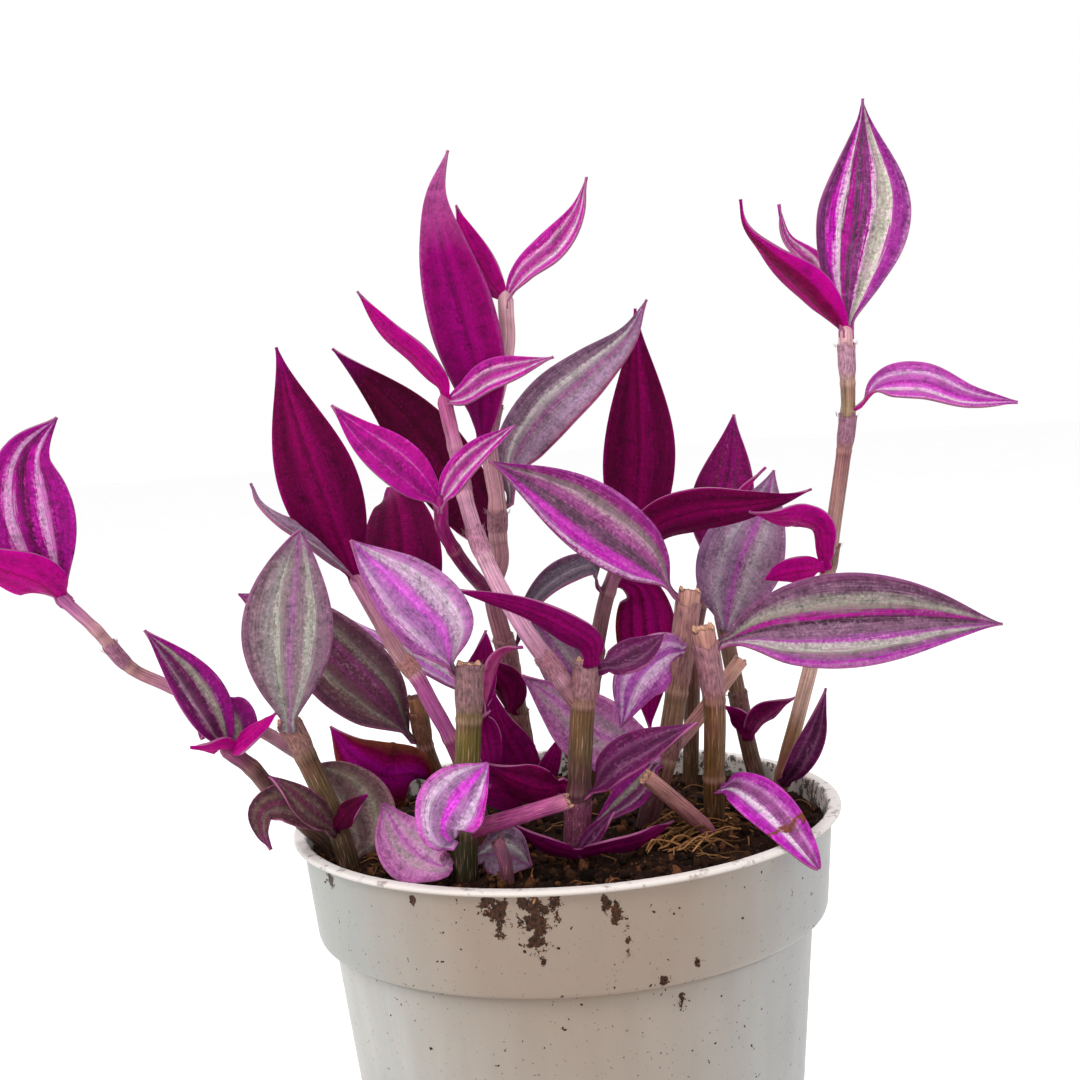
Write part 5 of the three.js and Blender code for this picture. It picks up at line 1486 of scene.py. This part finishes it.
def pot_material(name, settings):
    """Grey-white moulded plastic with faint streaks, painted light and shade, soil dust under the lip and a
    dirty inner wall.
    """
    shades = Shades(name)
    place = shades.place()
    side, front, height = shades.parts(place, "XYZ")
    streaks = shades.noise(shades.vector("MULTIPLY", place, (1, 1, 0.12)), 190.0, 3.0, 0.6)
    clouds = shades.noise(place, 45.0, 3.0)
    fine = shades.noise(place, 1300.0, 4.0, 0.7)
    coarse = shades.noise(place, 420.0, 5.0, 0.7)

    # The plastic, with painted light inside, painted shade at the right and on the band's left, a painted
    # shadow under the band and a painted warm front reflection
    colour = shades.mix(shades.range(clouds, 0.35, 0.7), opaque(settings.plastic), opaque(settings.shaded))
    colour = shades.brighten(colour, shades.range(streaks, 0.3, 0.7, 0.93, 1.05))
    far = shades.length(shades.vector("MULTIPLY", place, (1, 1, 0)))
    slope = shades.times_add(height, -WALL_SLOPE, far)
    inside = shades.times(shades.range(slope, *INNER_WALL), shades.range(height, *INNER_FOOT))
    # painted light: the inner wall is lightened towards a pale warm grey
    colour = shades.cover(colour, inside, POT_INSIDE_PAINTED_LIGHT, 0.6)
    # painted shade: the outer wall is darkened towards grey on the pot's right side, kept off the inner wall
    painted_right_shade = shades.times(shades.range(side, *RIGHT_SHADE_FADE), 0.55)
    colour = shades.cover(colour, painted_right_shade, POT_RIGHT_PAINTED_SHADE, shades.math("SUBTRACT", 1.0, inside))
    # painted shade: the band and the wall above it are darkened on the pot's left side
    painted_band_shade = shades.times(shades.range(side, *LEFT_SHADE_FADE), shades.range(height, *BAND_SHADE_FOOT))
    colour = shades.cover(colour, painted_band_shade, POT_BAND_LEFT_PAINTED_SHADE, 0.6)
    # painted shadow: a thin dark line on the body just under the band's step
    painted_seam_shadow = shades.times(shades.range(height, *SEAM_SHADOW_FOOT), shades.range(height, *SEAM_SHADOW_TOP))
    colour = shades.cover(colour, painted_seam_shadow, POT_SEAM_PAINTED_SHADOW, 0.75)
    # painted reflection: a warm brownish tint on the front of the pot, the side towards the camera
    colour = shades.cover(colour, shades.range(front, *FRONT_REFLECTION_FADE), POT_FRONT_PAINTED_REFLECTION, 0.8)

    # Soil dust around its spots: a haze, flakes of mud and specks
    dust = None
    for across, down, radius, reach in DUST_SPOTS:
        spot = near_place(shades, place, on_wall(across, down, radius), reach, (1, 1, 0.6))
        dust = spot if dust is None else shades.math("MAXIMUM", dust, spot)
    colour = shades.cover(colour, dust, DUST_HAZE, 0.16)
    flakes = shades.range(shades.sway(coarse, 3.2, dust), 0.44, 0.5)
    film = shades.times(shades.times(flakes, settings.dust), shades.math("GREATER_THAN", dust, 0.01))
    colour = shades.mix(film, colour, shades.mix(shades.range(fine, 0.4, 0.6), opaque(MUD_DRY), MUD_WET))
    specks = shades.math("MAXIMUM", shades.range(fine, 0.665, 0.68),
                         shades.range(shades.noise(place, 620.0), 0.72, 0.73))
    grit = shades.times(specks, settings.dust)
    colour = shades.mix(grit, colour, DUST_SPECKS)

    # The lip's top with its painted highlight and its stain, and the smears inside
    lip = shades.range(height, *LIP_TOP)
    stain = shades.times(lip, shades.range(shades.noise(place, 260.0, 5.0, 0.7), 0.56, 0.62))
    # painted highlight: the top of the lip is lightened towards a pale pinkish white
    colour = shades.cover(colour, lip, POT_LIP_PAINTED_HIGHLIGHT, 0.7)
    colour = shades.cover(colour, stain, LIP_STAIN, 0.6)
    smear = shades.times(inside, shades.range(coarse, 0.5, 0.56))
    colour = shades.cover(colour, smear, INNER_SMEAR, 0.9)
    shades.bump(shades.times_add(grit, 0.6, shades.times(clouds, 0.4)), 0.15, 0.5)
    return shades.surface(
        Base_Color=colour, Roughness=shades.times_add(coarse, 0.16, 0.3), Specular_IOR_Level=0.15,
        Subsurface_Weight=0.1, Subsurface_Scale=0.002)


# What every colour setting shares
COLOUR = {"size": 3, "min": 0, "max": 1, "subtype": "COLOR"}


class PlantPotSettings(bpy.types.PropertyGroup):
    sides: bpy.props.IntProperty(
        name="Sides", description="Facets around the pot", default=144, min=48, max=192)
    plastic: bpy.props.FloatVectorProperty(
        name="Plastic", description="Colour of the clean plastic", default=linear("a5a39e"), **COLOUR)
    shaded: bpy.props.FloatVectorProperty(
        name="Clouded plastic", description="Colour of its duller clouds", default=linear("9e9c96"),
        **COLOUR)
    dust: bpy.props.FloatProperty(
        name="Dust", description="Strength of the soil dust under the lip", default=1, min=0, max=1,
        subtype="FACTOR")


class PlantSoilSettings(bpy.types.PropertyGroup):
    dark: bpy.props.FloatVectorProperty(
        name="Dark soil", description="Colour of the moist soil", default=linear("140a07"), **COLOUR)
    light: bpy.props.FloatVectorProperty(
        name="Light soil", description="Colour of the dry soil", default=linear("342018"), **COLOUR)
    crumbs: bpy.props.IntProperty(
        name="Crumbs", description="Loose crumbs on the soil", default=1900, min=0, max=2200)
    crumb_size: bpy.props.FloatProperty(
        name="Crumb size", description="Widest usual crumb", default=0.0034, min=0.001, max=0.006,
        unit="LENGTH")
    fibres: bpy.props.IntProperty(
        name="Fibres", description="Straw and root fibres on the soil", default=210, min=1, max=300)
    straw: bpy.props.FloatVectorProperty(
        name="Straw", description="Colour of the fibres", default=linear("966a44"), **COLOUR)


class PlantStemSettings(bpy.types.PropertyGroup):
    sides: bpy.props.IntProperty(
        name="Sides", description="Facets around a stem", default=24, min=12, max=48)
    ring_step: bpy.props.FloatProperty(
        name="Ring step", description="Distance between rings along a stem", default=0.001, min=0.0005,
        max=0.003, unit="LENGTH")
    sheath: bpy.props.FloatProperty(
        name="Sheath thickness", description="Thickness of a leaf sheath", default=0.0003, min=0.0001,
        max=0.0006, unit="LENGTH")
    ribs: bpy.props.FloatProperty(
        name="Rib depth", description="Depth of the fine ribs", default=0.00012, min=0, max=0.0005,
        unit="LENGTH")
    hair: bpy.props.FloatProperty(
        name="Hair length", description="Length of the hairs on a sheath's rim", default=0.0016, min=0,
        max=0.004, unit="LENGTH")


class PlantLeafSettings(bpy.types.PropertyGroup):
    thickness: bpy.props.FloatProperty(
        name="Thickness", description="Thickness of a blade", default=0.0005, min=0.0003, max=0.001,
        unit="LENGTH")
    columns: bpy.props.IntProperty(
        name="Columns", description="Quads across a blade", default=18, min=8, max=32)
    rows: bpy.props.IntProperty(name="Rows", description="Quads along a blade", default=44, min=16, max=80)
    edge: bpy.props.FloatVectorProperty(
        name="Edge", description="Colour of a blade's thin edge", default=linear("904470"), **COLOUR)
    tip: bpy.props.FloatVectorProperty(
        name="Upper tip", description="Tint of a blade's tip on top", default=linear("8c2880"), **COLOUR)
    under_tip: bpy.props.FloatVectorProperty(
        name="Under tip", description="Tint of a blade's tip underneath", default=linear("98187c"),
        **COLOUR)


class PlantStageSettings(bpy.types.PropertyGroup):
    floor: bpy.props.FloatVectorProperty(
        name="Floor", description="Colour of the floor", default=linear("fdfdfd"), **COLOUR)
    light: bpy.props.FloatProperty(
        name="Light", description="Strength of the studio lights", default=1, min=0, max=4,
        subtype="FACTOR")


class PLANT_OT_pot(bpy.types.Operator):
    """Turn the nursery pot from its profile and cut its drain holes"""
    bl_idname = "plant.pot"
    bl_label = "Pot"

    def execute(self, context):
        settings = context.scene.plant_pot
        radius, height = POT_PROFILE[0]
        deselect()
        bpy.ops.mesh.primitive_circle_add(vertices=settings.sides, radius=radius * MM, fill_type="NGON",
                                          location=(0, 0, height * MM))
        pot = context.active_object
        pot.name = "nursery_pot"
        bpy.ops.object.transform_apply(location=True, rotation=False, scale=False)
        bpy.ops.object.mode_set(mode="EDIT")
        bpy.ops.mesh.select_all(action="SELECT")
        bpy.ops.mesh.flip_normals()
        bpy.ops.object.mode_set(mode="OBJECT")
        raise_rim(pot, [(high - low, wide / narrow, 1, 0)
                        for (narrow, low), (wide, high) in zip(POT_PROFILE, POT_PROFILE[1:])])
        for hole in range(DRAIN_HOLES):
            angle = FULL_TURN * hole / DRAIN_HOLES
            spot = (DRAIN_CIRCLE * MM * math.cos(angle), DRAIN_CIRCLE * MM * math.sin(angle), 0)
            deselect()
            bpy.ops.mesh.primitive_cylinder_add(vertices=DRAIN_SIDES, radius=DRAIN_RADIUS * MM,
                                                depth=DRILL_DEPTH * MM, location=spot)
            drill = context.active_object
            modified(pot, "BOOLEAN", operation="DIFFERENCE", solver="EXACT", object=drill)
            only(drill)
            bpy.ops.object.delete()
        pot.data.materials.append(pot_material("pot_plastic", settings))
        finished(pot, "pot", "pot")
        bpy.ops.object.shade_smooth_by_angle(angle=math.radians(POT_CREASE))
        return {"FINISHED"}


def soil_height(x, y):
    """The soil's top with its lumps and fine grain."""
    lumps, grain = [noise.noise(Vector((x / size, y / size, seed))) * height
                    for size, height, seed in (SOIL_LUMPS, SOIL_GRAIN)]
    return soil_top(x, y) + (lumps + grain)


def over_soil(x, y, lift):
    return Vector((x, y, soil_height(x, y) + lift))


class PLANT_OT_soil(bpy.types.Operator):
    """Fill the pot with soil and strew it with crumbs and fibres"""
    bl_idname = "plant.soil"
    bl_label = "Soil"

    def execute(self, context):
        settings = context.scene.plant_soil
        points = []
        for row in range(SOIL_CELLS + 1):
            y = 2 * row / SOIL_CELLS - 1
            line = []
            for column in range(SOIL_CELLS + 1):
                x = 2 * column / SOIL_CELLS - 1
                line.append(over_soil(SOIL_RIM * x * math.sqrt(1 - y * y / 2),
                                      SOIL_RIM * y * math.sqrt(1 - x * x / 2), 0))
            points.append(line)
        soil = grid("potting_soil", SOIL_CELLS, SOIL_CELLS, points)
        rings = [SOIL_RIM] + [radius for radius, height in SOIL_SIDE]
        raise_rim(soil, [(0, radius / last, 0, height) for last, (radius, height) in zip(rings, SOIL_SIDE)])
        soil.data.materials.append(soil_material("soil_earth", settings.dark, settings.light))
        finished(soil, "soil", "soil")
        self.crumbs(settings)
        self.fibres(settings)
        return {"FINISHED"}

    def crumbs(self, settings):
        """Crumbs all over the soil and a few on the pot's dusty spots, each turned and dented its own way."""
        dice = random.Random(CRUMB_SEED)
        spots = []
        for _ in range(settings.crumbs):
            x, y = self.strewn_place(dice, CRUMB_MARGIN)
            share = CRUMB_LEAST + (1 - CRUMB_LEAST) * dice.random() ** CRUMB_BIAS
            size = settings.crumb_size / MM / 2 * share
            spots.append((over_soil(x, y, CRUMB_STAND * size), size))
        least, most = DUST_SIZE
        for across, down, radius, reach in DUST_SPOTS:
            for _ in range(DUST_CRUMBS):
                spot = on_wall(across + dice.gauss(0, reach * DUST_ACROSS),
                               down + dice.gauss(0, reach * DUST_DOWN), radius)
                spots.append((spot, dice.uniform(least, most + DUST_GROWTH * reach)))
        tones = [linear(code) for code in CRUMB_TONES]

        def crumb(index, centre, size):
            turn = Euler([dice.uniform(0, CRUMB_TURN) for _ in range(3)]).to_matrix()
            squash = Vector((1, dice.uniform(*CRUMB_DEEP), dice.uniform(*CRUMB_HIGH)))
            seed = Vector((index * CRUMB_SHIFT, 0, 0))

            def placed(start):
                bulge = 1
                for dent, pace in CRUMB_DENTS:
                    bulge += dent * noise.noise(start * pace + seed)
                local = Vector((start.x * squash.x, start.y * squash.y, start.z * squash.z)) * (bulge * size)
                return centre + turn @ local
            return dice.choice(tones), placed

        deselect()
        bpy.ops.mesh.primitive_ico_sphere_add(subdivisions=2, radius=1, location=(0, 0, 0))
        crumbs = bpy.context.active_object
        crumbs.name = "soil_crumbs"
        strew(crumbs, spots, crumb)
        crumbs.data.materials.append(crumb_material("soil_crumb"))
        finished(crumbs, "soil")

    def strewn_place(self, dice, margin):
        """A place on the soil by chance, at least a margin in from its rim."""
        reach = (SOIL_RIM - margin) * math.sqrt(dice.random())
        angle = dice.uniform(0, FULL_TURN)
        return reach * math.cos(angle), reach * math.sin(angle)

    def fibres(self, settings):
        """Loose fibres, every fourth in the clump at the front right, with the thread and longer roots."""
        dice = random.Random(FIBRE_SEED)
        routes = [self.fibre(dice, index % CLUMP_EVERY == 0) for index in range(settings.fibres)]
        thread, thick, light = LIP_THREAD
        routes.append((Route([seen(*place) for place in thread], FIBRE_DIVISIONS), thick, light))
        for line, thick, light in ROOT_STRANDS:
            points = []
            for index, (across, down) in enumerate(line):
                foot = on_soil(across, down)
                lift = STRAND_LIFT + STRAND_ARCH * math.sin(math.pi * index / (len(line) - 1))
                points.append(over_soil(foot.x, foot.y, lift))
            routes.append((Route(points, FIBRE_DIVISIONS), thick, light))

        def laid(index, route, thick, light):
            frames = {}

            def placed(start):
                start = start / MM
                share = min(max(start.z, 0), 1)
                step = round(share * FIBRE_STEPS)
                if step not in frames:
                    frames[step] = (route.point(share), *ring_axes(route.tangent(share)))
                centre, first, second = frames[step]
                return centre + (first * start.x + second * start.y) * thick
            return [channel * light for channel in settings.straw], placed

        up = Vector((0, 0, 1))
        rings = [(up * (step / FIBRE_STEPS), up, plain(0 if step in (0, FIBRE_STEPS) else 1), plain(0))
                 for step in range(FIBRE_STEPS + 1)]
        fibres = tube("soil_fibres", rings, FIBRE_SIDES)
        strew(fibres, routes, laid)
        fibres.data.materials.append(crumb_material("soil_fibre"))
        finished(fibres, "soil")

    def fibre(self, dice, clump):
        """One fibre's route over the soil, its radius and its lightness."""
        if clump:
            start = on_soil(dice.uniform(*CLUMP_ACROSS), dice.uniform(*CLUMP_DOWN))
            heading = dice.gauss(*CLUMP_HEADING)
        else:
            start = Vector((*self.strewn_place(dice, FIBRE_MARGIN), 0))
            heading = dice.uniform(0, FULL_TURN)
        spans = CLUMP_FIBRE if clump else LOOSE_FIBRE
        length = dice.uniform(*spans["length"])
        curl = dice.gauss(0, FIBRE_CURL)
        arch, thick, light = [dice.uniform(*spans[span]) for span in ("arch", "thick", "light")]
        points = []
        x, y = start.x, start.y
        for step in range(FIBRE_LEGS + 1):
            if math.hypot(x, y) > SOIL_RIM - RIM_MARGIN:
                inward = (SOIL_RIM - RIM_MARGIN) / math.hypot(x, y)
                x *= inward
                y *= inward
            points.append(over_soil(x, y, FIBRE_LIFT + arch * math.sin(math.pi * step / FIBRE_LEGS)))
            x += math.cos(heading) * length / FIBRE_LEGS
            y += math.sin(heading) * length / FIBRE_LEGS
            heading += curl * length / FIBRE_LEGS
        return Route(points, FIBRE_DIVISIONS), thick, light


def ragged(waves, shift):
    """The rise of a torn edge at an angle: waves of a height and a count, the first one shifted."""
    def rise(angle):
        total = 0
        for index, (height, count) in enumerate(waves):
            total += height * math.sin(count * angle + (0 if index else shift))
        return total
    return rise


def end_rings(path):
    """Rings that close a stem's upper end: a cut face, or a bud that carries the youngest leaves."""
    point = path.route.point(1)
    axis = path.route.tangent(1)
    radius = path.radius(path.length)
    if path.end == "bud":
        reach = max(radius, BUD_RADIUS * BUD_WIDTH)
        rings = [(point + axis * rise, axis, plain(reach * part), plain(0)) for rise, part in BUD_RINGS]
        return rings, [path.tone(path.length)] * len(rings)
    face = CUT_BROWN if path.end == "dry" else CUT_STRAW
    torn = ragged(CUT_WAVES, radius)
    rings = [(point, axis, plain(radius * part), torn) for part in (1, CUT_RIM)]
    rings += [(point - axis * drop, axis, plain(radius * part), plain(0)) for drop, part in CUT_HOLLOW]
    return rings, [CUT_BROWN, face, blended(face, CUT_BROWN, 0.5), face]


def make_path(name, path, settings):
    """A stem from its closed root end up to its cut face or bud."""
    count = max(round(path.length / (settings.ring_step / MM)), 4)
    rings = [(path.route.point(0), path.route.tangent(0), plain(0), plain(0))]
    tones = [path.tone(0)]
    for index in range(count + 1):
        share = index / count
        radius = path.radius(path.length * index / count)
        rings.append((path.route.point(share), path.route.tangent(share), plain(radius), plain(0)))
        tones.append(path.tone(path.length * index / count))
    more_rings, more_tones = end_rings(path)
    return tube(name, rings + more_rings, settings.sides, tones + more_tones)


def make_sheath(name, path, low, high, colour, settings):
    """A ribbed leaf sheath: close round the stem, a little loose at its ragged rim."""
    count = max(round((high - low) / SHEATH_STEP), 6)
    rings = []
    tones = []
    for index in range(count + 1):
        share = index / count
        along = low + (high - low) * share
        base = path.plain_radius(along) - SHEATH_INSET
        base = base + SHEATH_FLARE * smooth(share, 0, FLARE_END) + RIM_FLARE * smooth(share, RIM_START, 1)
        ribbed = lambda angle, base=base: base + RIB_HEIGHT * math.cos(SHEATH_RIBS * angle)
        rise = ragged(TORN_WAVES, low) if index == count else plain(0)
        spot = along / path.length
        rings.append((path.route.point(spot), path.route.tangent(spot), ribbed, rise))
        fade = HUSK_FADE * (1 - smooth(share, 0, HUSK_START))
        tones.append(blended([channel * HUSK_SHADE for channel in colour], path.tone(along), fade))
    sheath = tube(name, rings, SHEATH_SIDES, tones)
    modified(sheath, "SOLIDIFY", thickness=settings.sheath, offset=0)
    return sheath


def rim_tufts(path, high, dice):
    """Where the hairs of a sheath's rim stand, and which way."""
    centre = path.route.point(high / path.length)
    axis = path.route.tangent(high / path.length)
    first, second = ring_axes(axis)
    reach = path.radius(high) + HAIR_STAND
    tufts = []
    for _ in range(HAIRS_A_RIM):
        angle = dice.uniform(0, FULL_TURN)
        spoke = first * math.cos(angle) + second * math.sin(angle)
        root = centre + spoke * reach - axis * dice.uniform(*HAIR_DROP)
        direction = axis * dice.uniform(*HAIR_RISE) + spoke * dice.uniform(*HAIR_LEAN)
        tufts.append((root, direction.normalized()))
    return tufts


def make_hairs(name, tufts, length, dice):
    """Fine hairs that stand from the sheaths' rims."""
    def hair(index, root, direction):
        first, second = ring_axes(direction)
        reach = length * dice.uniform(*HAIR_SHARE)

        def placed(start):
            return root + (first * start.x + second * start.y) * HAIR_RADIUS + direction * (start.z * reach)
        return HAIR_PALE, placed

    deselect()
    bpy.ops.mesh.primitive_cone_add(vertices=4, radius1=1, radius2=0, depth=1, location=(0, 0, 0.5))
    hairs = bpy.context.active_object
    hairs.name = name
    bpy.ops.object.transform_apply(location=True, rotation=False, scale=False)
    strew(hairs, tufts, hair)
    return hairs


class PLANT_OT_stems(bpy.types.Operator):
    """Grow the jointed stems with their ribbed sheaths, cut ends and fine hairs"""
    bl_idname = "plant.stems"
    bl_label = "Stems"

    def execute(self, context):
        settings = context.scene.plant_stems
        material = stem_material("stem_skin", settings.ribs / MM)
        dice = random.Random(HAIR_SEED)
        for name, paths in STEMS.items():
            pieces = []
            tufts = []
            for path in paths:
                pieces.append(make_path(name + "_part", path, settings))
                for low, high, colour in path.sheaths:
                    pieces.append(make_sheath(name + "_part", path, low, high, colour, settings))
                    tufts += rim_tufts(path, high, dice)
            if tufts:
                pieces.append(make_hairs(name + "_hairs", tufts, settings.hair / MM, dice))
            stem = joined(name + "_skin", pieces)
            stem.data.materials.clear()
            stem.data.materials.append(material)
            finished(stem, "stem", name)
        return {"FINISHED"}


class PLANT_OT_leaves(bpy.types.Operator):
    """Lay out the striped leaf blades of each node"""
    bl_idname = "plant.leaves"
    bl_label = "Leaves"

    def execute(self, context):
        settings = context.scene.plant_leaves
        looks = {}
        tip = (TIP_START, settings.tip)
        for look, stops in UPPER_LOOKS.items():
            looks[look] = blade_material("leaf_upper_" + look, stops, UPPER_FLECKS[look], tip, UPPER_SIDE,
                                         SCARS.get(look))
        for look, stops in UNDER_LOOKS.items():
            tip = PALE_TIPS.get(look, (TIP_START, settings.under_tip))
            looks[look] = blade_material("leaf_under_" + look, stops, UNDER_FLECKS[look], tip, UNDER_SIDE)
        edge = edge_material("leaf_edge", settings.edge)
        for node, (slot, blades) in LEAVES.items():
            pieces = [self.blade(node + "_part", blade, looks, edge, settings) for blade in blades]
            finished(joined(node + "_blades", pieces), slot, node)
        return {"FINISHED"}

    def blade(self, name, blade, looks, edge, settings):
        """A blade's sheet, its rows closer at foot and tip, with its thickness and materials."""
        columns = settings.columns
        points = [blade.foot_row(reach_in, columns) for reach_in in FOOT_SHARES]
        for index in range(settings.rows + 1):
            even = index / settings.rows
            eased = (1 - math.cos(math.pi * even)) / 2
            points.append(blade.row(TIP_END * ((1 - ROW_EASE) * even + ROW_EASE * eased), columns))
        piece = grid(name, columns, len(points) - 1, points)
        for material in (looks[blade.upper], looks[blade.under], edge):
            piece.data.materials.append(material)
        modified(piece, "SOLIDIFY", thickness=settings.thickness, offset=0, material_offset=1,
                 material_offset_rim=2)
        return piece


class PLANT_OT_stage(bpy.types.Operator):
    """Set the pale floor, the soft studio light and the camera"""
    bl_idname = "plant.stage"
    bl_label = "Stage"

    def execute(self, context):
        settings = context.scene.plant_stage
        deselect()
        bpy.ops.mesh.primitive_circle_add(vertices=96, radius=FLOOR_RADIUS, fill_type="NGON",
                                          location=(0, 0, -FLOOR_DROP))
        floor = context.active_object
        floor.name = "studio_floor"
        shades = Shades("floor_pale")
        speckle = shades.noise(shades.place(), 30.0, 3.0)
        colour = shades.brighten(opaque(settings.floor), shades.range(speckle, 0.3, 0.7, 0.985, 1.01))
        floor.data.materials.append(shades.surface(Base_Color=colour, Roughness=0.75))
        for name, spot, aim, size, power in STUDIO_LIGHTS:
            bpy.ops.object.light_add(type="AREA", location=spot)
            light = context.active_object
            light.name = name
            light.data.size = size
            light.data.energy = power * settings.light
            light.rotation_euler = (Vector(aim) - Vector(spot)).to_track_quat("-Z", "Y").to_euler()
        world = bpy.data.worlds.new("studio_air")
        world.use_nodes = True
        background = world.node_tree.nodes["Background"]
        background.inputs["Color"].default_value = opaque("ffffff")
        background.inputs["Strength"].default_value = settings.light
        context.scene.world = world
        bpy.ops.object.camera_add(location=EYE * MM)
        camera = context.active_object
        camera.name = "photo_camera"
        camera.rotation_euler = Matrix((RIGHT, UP, -AHEAD)).transposed().to_euler()
        camera.data.sensor_fit = "HORIZONTAL"
        camera.data.sensor_width = SENSOR
        camera.data.lens = VIEW_LENS / PICTURE_SIZE * SENSOR
        camera.data.clip_start = 0.01
        context.scene.camera = camera
        context.scene.view_settings.view_transform = "Standard"
        return {"FINISHED"}


SETTINGS = {
    "plant_pot": PlantPotSettings,
    "plant_soil": PlantSoilSettings,
    "plant_stems": PlantStemSettings,
    "plant_leaves": PlantLeafSettings,
    "plant_stage": PlantStageSettings,
}


class PLANT_PT_panel(bpy.types.Panel):
    bl_idname = "PLANT_PT_panel"
    bl_label = "Potted tradescantia"
    bl_space_type = "VIEW_3D"
    bl_region_type = "UI"
    bl_category = "Plant"

    def draw(self, context):
        for owner in SETTINGS:
            box = self.layout.box()
            settings = getattr(context.scene, owner)
            for setting in settings.bl_rna.properties:
                if setting.identifier not in ("rna_type", "name"):
                    box.prop(settings, setting.identifier)
            box.operator(owner.replace("_", "."))


CLASSES = [*SETTINGS.values(), PLANT_OT_pot, PLANT_OT_soil, PLANT_OT_stems, PLANT_OT_leaves, PLANT_OT_stage,
           PLANT_PT_panel]


def register():
    for entry in CLASSES:
        bpy.utils.register_class(entry)
    for owner, settings in SETTINGS.items():
        setattr(bpy.types.Scene, owner, bpy.props.PointerProperty(type=settings))


def unregister():
    for owner in SETTINGS:
        delattr(bpy.types.Scene, owner)
    for entry in reversed(CLASSES):
        bpy.utils.unregister_class(entry)


def main():
    register()
    bpy.ops.plant.pot()
    bpy.ops.plant.soil()
    bpy.ops.plant.stems()
    bpy.ops.plant.leaves()
    bpy.ops.plant.stage()


if __name__ == "__main__":
    main()
